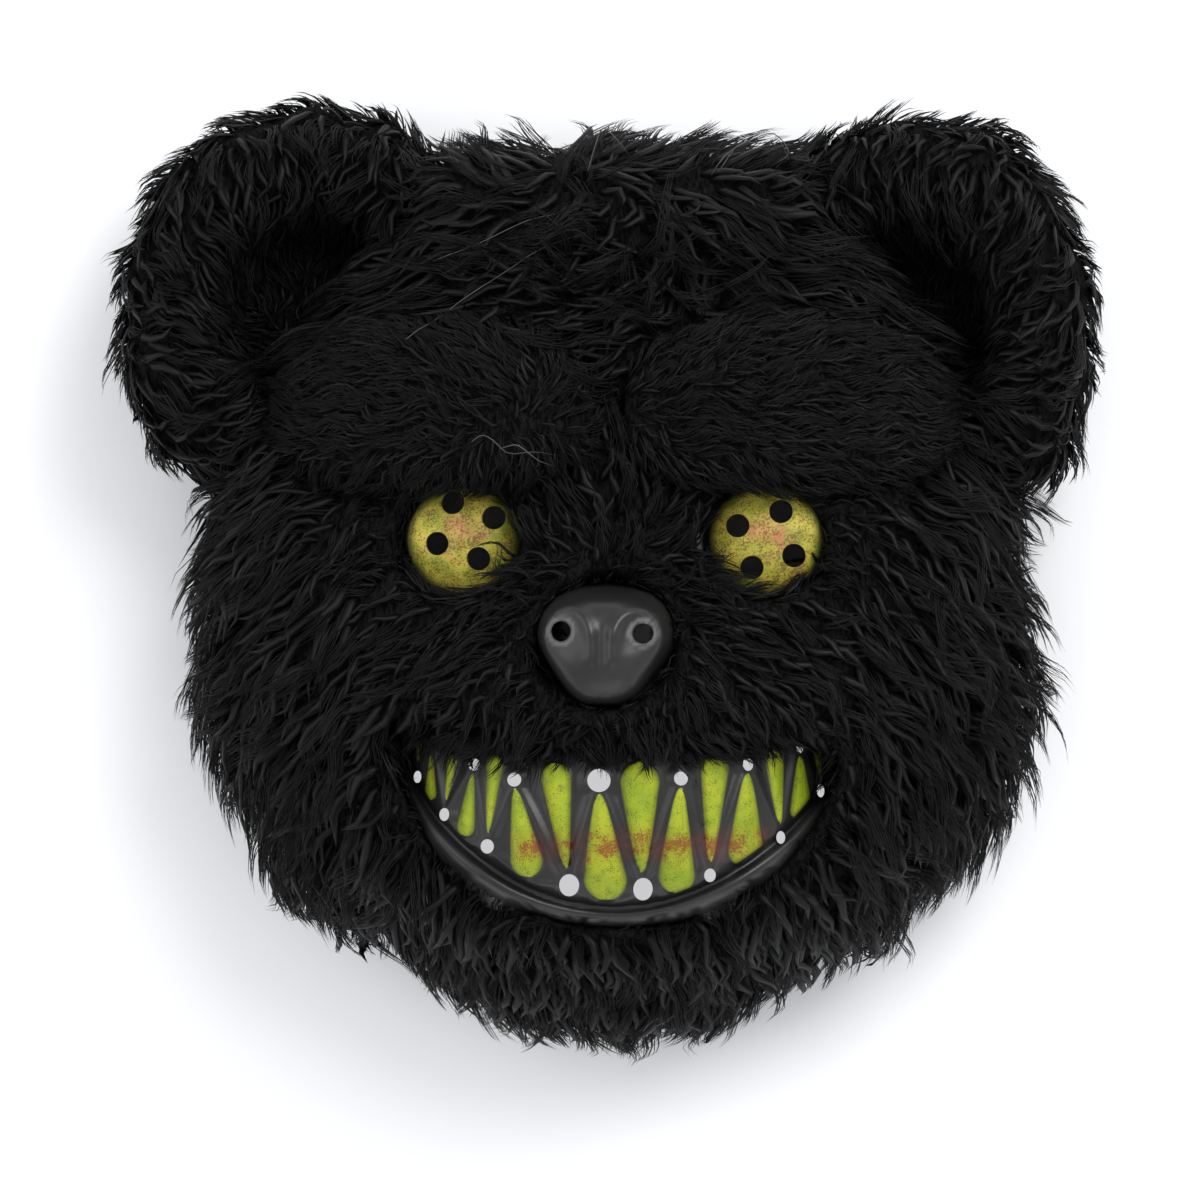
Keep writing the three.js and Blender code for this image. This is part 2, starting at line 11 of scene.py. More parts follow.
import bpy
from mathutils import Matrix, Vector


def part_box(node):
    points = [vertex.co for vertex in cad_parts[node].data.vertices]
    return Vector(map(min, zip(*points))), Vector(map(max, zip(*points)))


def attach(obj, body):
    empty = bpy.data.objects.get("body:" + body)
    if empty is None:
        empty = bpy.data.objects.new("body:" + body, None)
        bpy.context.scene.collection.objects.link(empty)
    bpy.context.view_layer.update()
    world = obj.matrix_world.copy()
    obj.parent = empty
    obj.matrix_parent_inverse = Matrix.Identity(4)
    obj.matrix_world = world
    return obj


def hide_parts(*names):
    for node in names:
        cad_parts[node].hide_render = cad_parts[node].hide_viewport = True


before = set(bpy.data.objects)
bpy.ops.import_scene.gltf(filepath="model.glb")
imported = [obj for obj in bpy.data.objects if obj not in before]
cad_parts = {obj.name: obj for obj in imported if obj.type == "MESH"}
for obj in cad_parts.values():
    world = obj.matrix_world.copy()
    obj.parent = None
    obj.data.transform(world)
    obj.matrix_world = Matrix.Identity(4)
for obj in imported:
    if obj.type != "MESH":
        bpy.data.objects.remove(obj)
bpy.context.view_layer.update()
print("nodes:", sorted(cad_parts))

# %% [markdown]
# ## Tools and measures
#
# Numpy does the sums, because a fur coat has some forty thousand strands and a Python loop
# over each would take minutes. The face is laid out in millimetres about its own axis, the
# line midway between the eyes, and every mesh is put into metres when it is made.

# %% Libraries and units
import itertools
import math
from operator import add

import bpy
import numpy as np
from mathutils import Matrix, Vector
from mathutils.bvhtree import BVHTree

MM = 0.001
draw = np.random.default_rng(41)

SHELL_TOP_Y = 112.0
shell_low, shell_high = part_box("face_shell")
AXIS = np.array([(shell_low.x + shell_high.x) / 2 / MM, shell_high.y / MM - SHELL_TOP_Y, 0.0])
print("face axis at", AXIS.round(2), "mm")


# %% [markdown]
# Soft steps and soft hills are all that the shapes below are added up from.

# %% Small sums that many steps use
def smooth(start, end, value):
    """Rises softly from 0 at start to 1 at end, and start may be the greater of the two."""
    t = np.clip((value - start) / (end - start), 0.0, 1.0)
    return t * t * (3 - 2 * t)


def hill(x, y, middle, spread):
    """A round hill of height 1 over the plan, with its own spread each way."""
    return np.exp(-(((x - middle[0]) / spread[0]) ** 2) - ((y - middle[1]) / spread[1]) ** 2)


def unit(vectors):
    """The same directions with length 1."""
    return vectors / np.maximum(np.linalg.norm(vectors, axis=-1, keepdims=True), 1e-9)


# %% [markdown]
# Every piece becomes a mesh in one go, from arrays of points and faces. Each piece of the
# object then gets its material and the body it rides on, and the solid it stands for is hidden.

# %% Meshes and materials
def mesh_object(name, points, faces):
    """A mesh object from points in face millimetres and a list of (corners, sides) arrays."""
    mesh = bpy.data.meshes.new(name)
    placed = ((points + AXIS) * MM).astype(np.float32)
    corners = np.concatenate([f.reshape(-1) for f in faces]).astype(np.int32)
    sides = np.concatenate([np.full(len(f), f.shape[1]) for f in faces])
    starts = np.concatenate([[0], np.cumsum(sides)[:-1]]).astype(np.int32)
    mesh.vertices.add(len(placed))
    mesh.vertices.foreach_set("co", placed.reshape(-1))
    mesh.loops.add(len(corners))
    mesh.loops.foreach_set("vertex_index", corners)
    mesh.polygons.add(len(sides))
    mesh.polygons.foreach_set("loop_start", starts)
    mesh.update(calc_edges=True)
    piece = bpy.data.objects.new(name, mesh)
    bpy.context.scene.collection.objects.link(piece)
    return piece


def dress(piece, material, node):
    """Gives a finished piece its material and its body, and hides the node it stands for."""
    piece.data.materials.clear()
    piece.data.materials.append(material)
    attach(piece, "root")
    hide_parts(node)


def triangles(piece):
    return sum(len(p.vertices) - 2 for p in piece.data.polygons)


def read_each(things, name, width, kind=np.float32):
    """One property of all points, loops or faces, a row of numbers each."""
    values = np.empty(len(things) * width, kind)
    things.foreach_get(name, values)
    return values.reshape(-1, width)


def points_of(piece):
    """The points of a piece in face millimetres."""
    return read_each(piece.data.vertices, "co", 3) / MM - AXIS


def applied(piece):
    """A new mesh with the modifiers of the piece worked in."""
    bpy.context.view_layer.update()
    final = piece.evaluated_get(bpy.context.evaluated_depsgraph_get())
    return bpy.data.meshes.new_from_object(final)


def new_material(name):
    """A named material with its node tree and its Principled shader."""
    made = bpy.data.materials.new(name)
    made.use_nodes = True
    return made, made.node_tree, made.node_tree.nodes["Principled BSDF"]


# %% [markdown]
# ## Camera, floor and light
#
# The photograph looks straight at the face from about 1.3 m, a touch from the right. The mask
# lies down here, so the camera hangs over it and leans by the same few degrees. Its turn is
# built from three axes, because a camera that looks straight down has no natural "up".

# %% Camera
CAMERA_HEIGHT = 1.3
CAMERA_LEAN = math.radians(3.2)
FRAME_WIDTH_ANGLE = math.radians(16.13)
AIM = Vector((-0.0047, -0.0063, 0.0))

eye_point = AIM + Vector((CAMERA_HEIGHT * math.tan(CAMERA_LEAN), 0.0, CAMERA_HEIGHT))
looking = (AIM - eye_point).normalized()
rightward = looking.cross(Vector((0, 1, 0))).normalized()
upward = rightward.cross(looking)
camera = bpy.data.objects.new("camera", bpy.data.cameras.new("camera"))
turn = Matrix((rightward, upward, -looking)).transposed()
camera.matrix_world = Matrix.Translation(eye_point) @ turn.to_4x4()
camera.data.angle = FRAME_WIDTH_ANGLE
bpy.context.scene.collection.objects.link(camera)
bpy.context.scene.camera = camera

# %% [markdown]
# A pale floor runs far out on all sides. One big soft lamp from the upper right gives the
# faint shadow on the left, a second one fills in, and an even pale sky does the rest. Black
# fur needs lamps at a low angle: they catch the flanks of the hairs and part the locks.

# %% Floor, sky and lamps
FLOOR_SIZE = 6.0
SKY = (0.93, 0.95, 1.0, 1.0)
SKY_STRENGTH = 0.85
LAMPS = [
    ("key", (0.75, 0.85, 1.15), 0.9, 17.0),
    ("fill", (-1.1, 0.25, 0.9), 1.1, 5.0),
    ("chin", (0.2, -1.25, 0.7), 0.9, 2.2),
]

bpy.ops.mesh.primitive_plane_add(size=FLOOR_SIZE)
floor = bpy.context.object
floor.name = "floor"
floor_material, _, floor_shader = new_material("pale_floor")
floor_shader.inputs["Base Color"].default_value = (0.93, 0.93, 0.93, 1)
floor_shader.inputs["Roughness"].default_value = 0.9
floor_shader.inputs["Specular IOR Level"].default_value = 0.1
floor.data.materials.append(floor_material)

world = bpy.data.worlds.new("studio")
world.use_nodes = True
bpy.context.scene.world = world
world.node_tree.nodes["Background"].inputs["Color"].default_value = SKY
world.node_tree.nodes["Background"].inputs["Strength"].default_value = SKY_STRENGTH
bpy.context.scene.view_settings.view_transform = "Standard"

for lamp_name, place, size, power in LAMPS:
    lamp = bpy.data.objects.new(lamp_name, bpy.data.lights.new(lamp_name, "AREA"))
    lamp.data.energy = power
    lamp.data.size = size
    lamp.location = place
    lamp.rotation_euler = (-Vector(place)).to_track_quat("-Z", "Y").to_euler()
    bpy.context.scene.collection.objects.link(lamp)

# %% [markdown]
# ## The moulded face: its form
#
# The real shell is one sheet of plastic drawn over a mould, so every point of it has just one
# height above the table. That makes a height map the natural way to build it: one function
# adds up dome, muzzle, eyes, nose, teeth and lip. First comes the plain dome with its muzzle.

# %% Dome and muzzle
HEAD_MIDDLE_Y = -5.0
SHELL_HALF_WIDTH, SHELL_UP, SHELL_DOWN, SHELL_HEIGHT = 110.0, 118.0, 121.0, 76.0
MUZZLE_TOP, MUZZLE_HALF, MUZZLE_DROP = 106.0, 66.0, 46.0
MUZZLE_Y, MUZZLE_REACH, MUZZLE_CHIN_DROP = -60.0, 44.0, 30.0
SOCKET_DEPTH, SOCKET_SPREAD = 5.0, (26.0, 26.0)
EYES = [(-42.9, 10.6), (45.0, 10.6)]


def outline_reach(turn, half_width, up, down):
    reach = np.where(np.sin(turn) > 0, up, down)
    return 1 / np.hypot(np.cos(turn) / half_width, np.sin(turn) / reach)


def blend_higher(a, b, softness):
    """The higher of two heights, with a soft valley where they cross."""
    gap = np.maximum(softness - np.abs(a - b), 0) / softness
    return np.maximum(a, b) + gap * gap * softness / 4


def shell_height(x, y):
    """Height of the dome with its muzzle, before eyes, nose and teeth."""
    turn = np.arctan2(y - HEAD_MIDDLE_Y, x)
    reach = outline_reach(turn, SHELL_HALF_WIDTH, SHELL_UP, SHELL_DOWN)
    share = np.minimum(np.hypot(x, y - HEAD_MIDDLE_Y) / reach, 1)
    dome = SHELL_HEIGHT * np.sqrt(1 - share**2.4)
    edge = smooth(1.0, 0.9, share)
    across = MUZZLE_DROP * np.abs(x / MUZZLE_HALF) ** 2.6
    along = MUZZLE_CHIN_DROP * np.abs((y - MUZZLE_Y) / MUZZLE_REACH) ** 3.2
    sockets = sum(hill(x, y, eye, SOCKET_SPREAD) for eye in EYES)
    raised = blend_higher(dome, (MUZZLE_TOP - across - along) * edge, 16.0)
    return raised - SOCKET_DEPTH * sockets * edge


# %% [markdown]
# The eyes are shallow caps of a ball. The nose is a rounded shield with two nostril bowls,
# each under its own arched ridge, and two thin ridges that run down beside the middle groove.

# %% Eyes and nose
EYE_RADIUS, EYE_FRONT, EYE_BALL = 17.4, 80.0, 22.5
EYE_WALL_SLOPE = 2.0
NOSE_Y, NOSE_HALF_WIDTH, NOSE_HALF_HEIGHT = -21.0, 18.0, 15.5
NOSE_FRONT, NOSE_DEPTH, NOSE_WALL_SLOPE = 122.0, 12.0, 6.0
NOSE_SQUARENESS, NOSE_NARROWS, NOSE_EDGE = 2.7, 0.32, 0.97
GROOVE_DEPTH, GROOVE_WIDTH = 0.6, 1.5
RIDGE_X, RIDGE_RISE, RIDGE_WIDTH = 3.0, 1.2, 1.6
NOSTRILS = [(-11.6, -15.6), (11.4, -16.2)]
NOSTRIL_RADIUS = 2.8
BOWL_DEPTH, BOWL_WIDTH = 2.4, 5.4
ARCH_RADIUS, ARCH_RISE, ARCH_WIDTH = 7.6, 1.5, 1.7
COLLAR_RADIUS, COLLAR_RISE, COLLAR_WIDTH = 3.4, 0.6, 0.8


def bell(away, width):
    """A soft bump of height 1 that fades over the given width."""
    return np.exp(-((away / width) ** 2))


def eye_height(x, y):
    height = np.full(np.shape(x), -100.0)
    for middle in EYES:
        r = np.hypot(x - middle[0], y - middle[1])
        cap = np.sqrt(EYE_BALL**2 - np.minimum(r, EYE_RADIUS) ** 2) - EYE_BALL
        wall = EYE_WALL_SLOPE * np.maximum(r - EYE_RADIUS, 0)
        height = np.maximum(height, EYE_FRONT + cap - wall)
    return height


def nose_height(x, y):
    narrow = 1 - NOSE_NARROWS * smooth(-16.0, -34.0, y)
    across = np.abs(x) / (NOSE_HALF_WIDTH * narrow)
    along = np.abs(y - NOSE_Y) / NOSE_HALF_HEIGHT
    r = (across**NOSE_SQUARENESS + along**NOSE_SQUARENESS) ** (1 / NOSE_SQUARENESS)
    front = NOSE_DEPTH * (1 - np.sqrt(1 - np.minimum(r, NOSE_EDGE) ** 3))
    wall = NOSE_WALL_SLOPE * NOSE_HALF_WIDTH * np.maximum(r - NOSE_EDGE, 0)
    height = NOSE_FRONT - front - wall
    inside = smooth(1.0, 0.75, r)
    below = smooth(-12.5, -17.0, y) * smooth(-26.5, -23.0, y)
    height = height - GROOVE_DEPTH * bell(x, GROOVE_WIDTH) * below
    height = height + RIDGE_RISE * bell(np.abs(x) - RIDGE_X, RIDGE_WIDTH) * below
    for middle in NOSTRILS:
        away = np.hypot(x - middle[0], (y - middle[1]) * 1.1)
        above = smooth(-4.0, 3.0, y - middle[1])
        height = height - BOWL_DEPTH * bell(away, BOWL_WIDTH) * inside
        height = height + ARCH_RISE * bell(away - ARCH_RADIUS, ARCH_WIDTH) * above * inside
        height = height + COLLAR_RISE * bell(away - COLLAR_RADIUS, COLLAR_WIDTH) * inside
    return height


# %% [markdown]
# ## The grin
#
# Small holes run along a lower and an upper curve. Bars of plastic zigzag between them like
# stitches, and the gaps are filled by pointed teeth: lower teeth stand on the lower curve and
# upper teeth hang between them. Each tooth is a soft pillow, round at its root and narrow at
# its tip. The places of the holes are the only numbers that have to be given: bars, rails and
# teeth are all worked out from them.

# %% Layout of the grin
LOWER_HOLES = [
    (-56.1, -58.1), (-47.3, -68.5), (-34.1, -77.1), (-10.5, -88.0), (10.5, -89.1),
    (29.5, -85.2), (49.5, -75.0), (60.9, -62.2), (67.0, -52.3),
]
UPPER_HOLES = [
    (-59.3, -41.1), (-51.2, -48.6), (-37.9, -53.8), (-25.9, -57.8), (-1.6, -57.8),
    (21.5, -57.3), (40.2, -53.7), (54.9, -49.4), (64.0, -44.6),
]
LOWER_RADII = [1.8, 1.9, 2.05, 3.2, 3.25, 1.95, 1.85, 1.9, 1.6]
UPPER_RADII = [1.5, 1.5, 1.8, 2.0, 3.3, 2.0, 1.8, 1.6, 1.5]
LOWER_TOOTH_HALF = [2.4, 3.2, 5.2, 6.6, 5.6, 5.4, 3.6, 2.2]
UPPER_TOOTH_HALF = [2.2, 2.5, 3.0, 4.8, 6.0, 4.4, 3.4, 2.2]
TOOTH_RISE_SHARE, TOOTH_RISE_MOST = 0.5, 2.7
LOWER_ROOT_SHARE, LOWER_TIP_GAP = 0.62, 0.8
UPPER_ROOT_REACH, UPPER_TIP_GAP = 5.0, 2.2
TOOTH_WIDEST_AT, TOOTH_TIP_SHARE, TOOTH_TIP_FROM, TOOTH_TIP_RUN = 0.4, 0.16, 0.9, 0.12
GRIN_RECESS = 0.9
BAR_HALF, BAR_RISE = 2.1, 1.9
RAIL_HALF, RAIL_RISE = 1.5, 1.7

lower, upper = np.array(LOWER_HOLES), np.array(UPPER_HOLES)


def tooth_between(first, second, facing, reach_past, stop_short):
    """Root end and tip of a tooth that stands between two holes and points at a third."""
    middle = (first + second) / 2
    toward = unit(facing - middle)
    return middle - toward * reach_past, facing - toward * stop_short


teeth = []
for i, half in enumerate(LOWER_TOOTH_HALF):
    gap = UPPER_RADII[i + 1] + LOWER_TIP_GAP
    root, tip = tooth_between(lower[i], lower[i + 1], upper[i + 1], LOWER_ROOT_SHARE * half, gap)
    teeth.append((root, tip, half))
for i, half in enumerate(UPPER_TOOTH_HALF):
    gap = LOWER_RADII[i] + UPPER_TIP_GAP
    root, tip = tooth_between(upper[i], upper[i + 1], lower[i], UPPER_ROOT_REACH, gap)
    teeth.append((root, tip, half))
print("teeth:", len(teeth))


# %% [markdown]
# The height of a tooth follows from how far a place lies from its spine. Bars and rails are
# ridges along straight lines, with a low boss round every hole.

# %% Height of teeth, bars and rails
def tooth_share(x, y, root, tip, half):
    """0 on a tooth's spine and 1 at its edge: round at the root, narrow at the tip."""
    axis = tip - root
    length = np.hypot(*axis)
    axis = axis / length
    along = ((x - root[0]) * axis[0] + (y - root[1]) * axis[1]) / length
    across = np.abs((x - root[0]) * -axis[1] + (y - root[1]) * axis[0])
    widest = min(half / length, TOOTH_WIDEST_AT)
    rounded = np.sqrt(np.maximum(1 - ((widest - along) / widest) ** 2, 1e-4))
    narrowing = np.maximum(1 - (along - widest) / (1 - widest), 0) ** 0.8
    tapered = TOOTH_TIP_SHARE + (1 - TOOTH_TIP_SHARE) * narrowing
    in_tip = np.maximum((along - TOOTH_TIP_FROM) / TOOTH_TIP_RUN, 0)
    closed = np.sqrt(np.maximum(1 - in_tip**2, 1e-4))
    width = half * np.where(along < widest, rounded, tapered) * closed
    share = across / np.maximum(width, 0.05)
    return np.where((along < 0) | (along > 1.02), 9.0, share)


def ridge(x, y, start, end, half):
    """A ridge of height 1 with a round back along a straight line."""
    run = end - start
    along = ((x - start[0]) * run[0] + (y - start[1]) * run[1]) / np.dot(run, run)
    along = np.clip(along, 0, 1)
    away = np.hypot(x - start[0] - along * run[0], y - start[1] - along * run[1])
    return np.exp(-((away / half) ** 2) * 1.2)


def teeth_height(x, y):
    height = np.zeros(np.shape(x))
    for root, tip, half in teeth:
        share = tooth_share(x, y, root, tip, half)
        rise = min(TOOTH_RISE_SHARE * half, TOOTH_RISE_MOST)
        height = np.maximum(height, rise * np.maximum(1 - share**2.2, 0) ** 1.2)
    return height


def bars_height(x, y):
    height = np.zeros(np.shape(x))
    zigzag = [point for pair in zip(upper, lower) for point in pair]
    for start, end in zip(zigzag[:-1], zigzag[1:]):
        height = np.maximum(height, BAR_RISE * ridge(x, y, start, end, BAR_HALF))
    for i, (root, tip, half) in enumerate(teeth[: len(LOWER_TOOTH_HALF)]):
        below = root - unit(tip - root) * 1.3
        aside = unit(lower[i + 1] - lower[i]) * half * 0.55
        up = unit(tip - root) * 0.12 * half
        course = [lower[i], below - aside + up, below, below + aside + up, lower[i + 1]]
        for start, end in zip(course[:-1], course[1:]):
            height = np.maximum(height, RAIL_RISE * ridge(x, y, start, end, RAIL_HALF))
    for holes, radii in ((lower, LOWER_RADII), (upper, UPPER_RADII)):
        for place, radius in zip(holes, radii):
            away = np.hypot(x - place[0], y - place[1])
            boss = BAR_RISE * np.exp(-((away / (radius + 1.7)) ** 4))
            height = np.maximum(height, boss)
    return height


# %% [markdown]
# A thick rolled lip runs below the teeth from corner to corner, with a dark gully between lip
# and teeth. Its profile is a function of the distance from the lip's own curve. The grin as a
# whole is rolled by three degrees: its left corner sits higher.

# %% Lip, and the whole face
GRIN_ROLL = math.radians(-3)
GRIN_PIVOT_Y = -70.0
LIP_Y, LIP_BEND, LIP_CORNER_X = -97.0, 0.0088, 50.0
LIP_BEND_LEFT, LIP_BEND_RIGHT = 0.032, 0.014
LIP_CREST, LIP_RADIUS, LIP_RISE, LIP_REACH = -1.6, 3.5, 3.2, 70.0
GULLY_DEPTH, GULLY_AT, GULLY_HALF = 2.0, 2.5, 1.9
EYE_BLEND, NOSE_BLEND = 2.0, 5.0


def level(x, y):
    """Takes the grin's roll out of a place in the plan."""
    c, s = math.cos(-GRIN_ROLL), math.sin(-GRIN_ROLL)
    return c * x - s * (y - GRIN_PIVOT_Y), GRIN_PIVOT_Y + s * x + c * (y - GRIN_PIVOT_Y)


def from_lip(x, y):
    """Distance up from the lip's curve, and how much lip there is at that place."""
    flat_x, flat_y = level(x, y)
    corner = np.maximum(np.abs(flat_x) - LIP_CORNER_X, 0)
    corner_bend = np.where(flat_x > 0, LIP_BEND_RIGHT, LIP_BEND_LEFT)
    curve = LIP_Y + LIP_BEND * flat_x**2 + corner_bend * corner**2
    slope = 2 * LIP_BEND * np.abs(flat_x) + 2 * corner_bend * corner
    some_lip = smooth(LIP_REACH + 3, LIP_REACH - 8, np.abs(flat_x))
    return (flat_y - curve) / np.hypot(1, slope), some_lip


def in_gully(x, y):
    """1 along the bottom of the gully between lip and teeth, 0 away from it."""
    above_lip, some_lip = from_lip(x, y)
    return np.exp(-(((above_lip - GULLY_AT) / GULLY_HALF) ** 2)) * some_lip


def face_height(x, y):
    """Height of the finished moulding over any place in the plan."""
    above_lip, some_lip = from_lip(x, y)
    in_grin = smooth(2.0, 4.6, above_lip) * smooth(-34.0, -40.0, y) * some_lip
    height = shell_height(x, y) - GRIN_RECESS * in_grin
    height = height + np.maximum(teeth_height(x, y), bars_height(x, y)) * in_grin
    roll = np.maximum(1 - ((above_lip - LIP_CREST) / LIP_RADIUS) ** 2, 0) ** 1.4
    height = height + LIP_RISE * roll * some_lip - GULLY_DEPTH * in_gully(x, y)
    height = blend_higher(height, eye_height(x, y), EYE_BLEND)
    return blend_higher(height, nose_height(x, y), NOSE_BLEND)


def plain_face_height(x, y):
    """The same without teeth and lip, for the inside of the shell."""
    height = shell_height(x, y) - GRIN_RECESS - GULLY_DEPTH * in_gully(x, y)
    height = np.maximum(height, eye_height(x, y))
    return np.maximum(height, nose_height(x, y))


# %% [markdown]
# ## The moulded face: its mesh
#
# A square grid is pressed onto the shell's oval outline, with close lines where eyes, nose and
# teeth are and wide ones elsewhere.

# %% Grid on the oval
SHELL_WALL = 1.8
INSIDE_STEP = 4
LOOK_AROUND = 2.6
COLUMN_STOPS = [(-1.0, 6), (-0.94, 8), (-0.7, 188), (0.7, 8), (0.94, 6), (1.0, 0)]
ROW_STOPS = [(-1.0, 6), (-0.94, 6), (-0.87, 100), (-0.29, 68), (0.33, 18), (0.94, 6), (1.0, 0)]


def grid_lines(stops):
    lines = [np.linspace(a, b, n, endpoint=False) for (a, n), (b, _) in zip(stops[:-1], stops[1:])]
    return np.append(np.concatenate(lines), stops[-1][0])


def press_on_oval(columns, rows, inset):
    """Plan places of a square grid whose outermost lines lie on the shell's outline."""
    a, b = np.meshgrid(columns, rows)
    x = a * np.sqrt(1 - b**2 / 2)
    y = b * np.sqrt(1 - a**2 / 2)
    reach_y = np.where(y > 0, SHELL_UP, SHELL_DOWN)
    return x * (SHELL_HALF_WIDTH - inset), y * (reach_y - inset) + HEAD_MIDDLE_Y


def inner_height(x, y):
    """A wall's thickness below the lowest place nearby."""
    heights = [plain_face_height(x, y)]
    for angle in np.arange(8) * math.pi / 4:
        beside_x = x + LOOK_AROUND * math.cos(angle)
        beside_y = y + LOOK_AROUND * math.sin(angle)
        heights.append(plain_face_height(beside_x, beside_y))
    return np.min(heights, axis=0) - SHELL_WALL


def shell_side(columns, rows, inset, height_of):
    """Points of one side of the shell, its outermost ones on the table."""
    x, y = press_on_oval(columns, rows, inset)
    z = np.maximum(height_of(x, y), 0.0)
    z[[0, -1], :] = 0.0
    z[:, [0, -1]] = 0.0
    return np.stack([x, y, z], axis=-1).reshape(-1, 3)


# %% [markdown]
# The inside takes every fourth line and lies a wall's thickness below the lowest point nearby,
# so that it never breaks through. It meets the outside in a flat rim on the table.

# %% Both sides and the rim
def grid_faces(rows, columns, first, flip):
    corner = first + np.arange(rows - 1)[:, None] * columns + np.arange(columns - 1)[None, :]
    quads = np.stack([corner, corner + 1, corner + 1 + columns, corner + columns], axis=-1)
    quads = quads.reshape(-1, 4)
    return quads[:, ::-1] if flip else quads


def border(rows, columns, first):
    """The outermost points of a grid, in order round it."""
    grid = first + np.arange(rows * columns).reshape(rows, columns)
    return np.concatenate([grid[0, :-1], grid[:-1, -1], grid[-1, :0:-1], grid[:0:-1, 0]])


columns, rows = grid_lines(COLUMN_STOPS), grid_lines(ROW_STOPS)
inner_columns, inner_rows = columns[::INSIDE_STEP], rows[::INSIDE_STEP]
outside = shell_side(columns, rows, 0.0, face_height)
inside = shell_side(inner_columns, inner_rows, SHELL_WALL, inner_height)
outer_rim = border(len(rows), len(columns), 0)
inner_rim = border(len(inner_rows), len(inner_columns), len(outside))
spans = np.arange(len(inner_rim))
rim_faces = np.stack(
    [inner_rim, np.roll(inner_rim, -1)]
    + [outer_rim[((spans + 1) * INSIDE_STEP - k) % len(outer_rim)] for k in range(INSIDE_STEP + 1)],
    axis=-1,
)
face = mesh_object(
    "face_moulding",
    np.concatenate([outside, inside]),
    [
        grid_faces(len(rows), len(columns), 0, False),
        grid_faces(len(inner_rows), len(inner_columns), len(outside), True),
        rim_faces,
    ],
)
print("face before drilling:", triangles(face), "triangles")

# %% [markdown]
# The holes are drilled with a boolean, as a maker would drill them: peepholes and nostrils
# straight down, the holes of the grin at a slight lean, and narrower where the muzzle slopes.

# %% Drill the holes
PEEPHOLES = [
    (-50.1, 9.5), (-33.8, 17.0), (-38.1, 5.1), (-45.7, 21.4),
    (36.9, 14.6), (49.4, 18.7), (53.1, 6.0), (41.0, 2.5),
]
PEEPHOLE_RADIUS = 3.4
DRILL_SIDES = 28
GRIN_DRILL, UPRIGHT_DRILL = 34.0, 40.0


def surface_normal(x, y, step=1.5):
    slope_x = (shell_height(x + step, y) - shell_height(x - step, y)) / (2 * step)
    slope_y = (shell_height(x, y + step) - shell_height(x, y - step)) / (2 * step)
    return unit(np.array([-slope_x, -slope_y, 1.0]))


def drill_points(place, direction, radius, length, squeeze=1.0):
    """The corners of a round or oval pin, its two ends one after the other."""
    aside = unit(np.cross(direction, [0.0, 1.0, 0.0]))
    ahead = np.cross(direction, aside)
    angles = np.arange(DRILL_SIDES) * 2 * math.pi / DRILL_SIDES
    ring = radius * (squeeze * np.cos(angles)[:, None] * aside + np.sin(angles)[:, None] * ahead)
    reach = direction * length / 2
    return np.concatenate([place + ring + reach, place + ring - reach])


drills = []
for holes, radii in ((lower, LOWER_RADII), (upper, UPPER_RADII)):
    for (x, y), radius in zip(holes, radii):
        place = np.array([x, y, shell_height(x, y)])
        squeeze = min(1.0, 1.15 * surface_normal(x, y)[2])
        leaning = unit(np.array([0.06 + 0.0004 * -x, 0.06, 1.0]))
        drills.append(drill_points(place, leaning, radius, GRIN_DRILL, squeeze))
for x, y in PEEPHOLES:
    place = np.array([x, y, EYE_FRONT])
    drills.append(drill_points(place, np.array([0.0, 0.0, 1.0]), PEEPHOLE_RADIUS, UPRIGHT_DRILL))
for x, y in NOSTRILS:
    place = np.array([x, y, NOSE_FRONT])
    drills.append(drill_points(place, np.array([0.0, 0.0, 1.0]), NOSTRIL_RADIUS, UPRIGHT_DRILL))

ring = np.arange(DRILL_SIDES)
wall = np.stack([ring, ring + DRILL_SIDES, np.roll(ring, -1) + DRILL_SIDES, np.roll(ring, -1)], -1)
caps = np.stack([ring, (ring + DRILL_SIDES)[::-1]])
shift = (np.arange(len(drills)) * 2 * DRILL_SIDES)[:, None, None]
cutter = mesh_object(
    "drills",
    np.concatenate(drills),
    [(wall[None] + shift).reshape(-1, 4), (caps[None] + shift).reshape(-1, DRILL_SIDES)],
)
cut = face.modifiers.new("drill", "BOOLEAN")
cut.operation, cut.solver, cut.object = "DIFFERENCE", "MANIFOLD", cutter
drilled = applied(face)
face.modifiers.clear()
face.data = drilled
bpy.data.objects.remove(cutter)
print("face:", triangles(face), "triangles,", len(drills), "holes")

# %% [markdown]
# Paint goes on by hand on such masks: teeth and eyes are sprayed through a stencil, then
# spotted. The mesh carries, point by point, how deep each place lies inside a painted area. The
# materials turn those depths into crisp edges with a soft dark rim, partly the paint's soft edge
# and partly painted shade where the paint meets the plastic round it. The same way it knows where
# fur covers the plastic and where the gully lies: there the plastic is painted near black, as
# painted shade.

# %% Where the paint goes
BAND_Y, BAND_HALF, BAND_START, BAND_END = -76.5, 4.2, -24.0, 56.0
EYE_PAINT_RADIUS = 16.6
RING_WIDTH = 0.8


def give_points(piece, name, values):
    layer = piece.data.attributes.new(name, "FLOAT", "POINT")
    layer.data.foreach_set("value", np.asarray(values, np.float32))


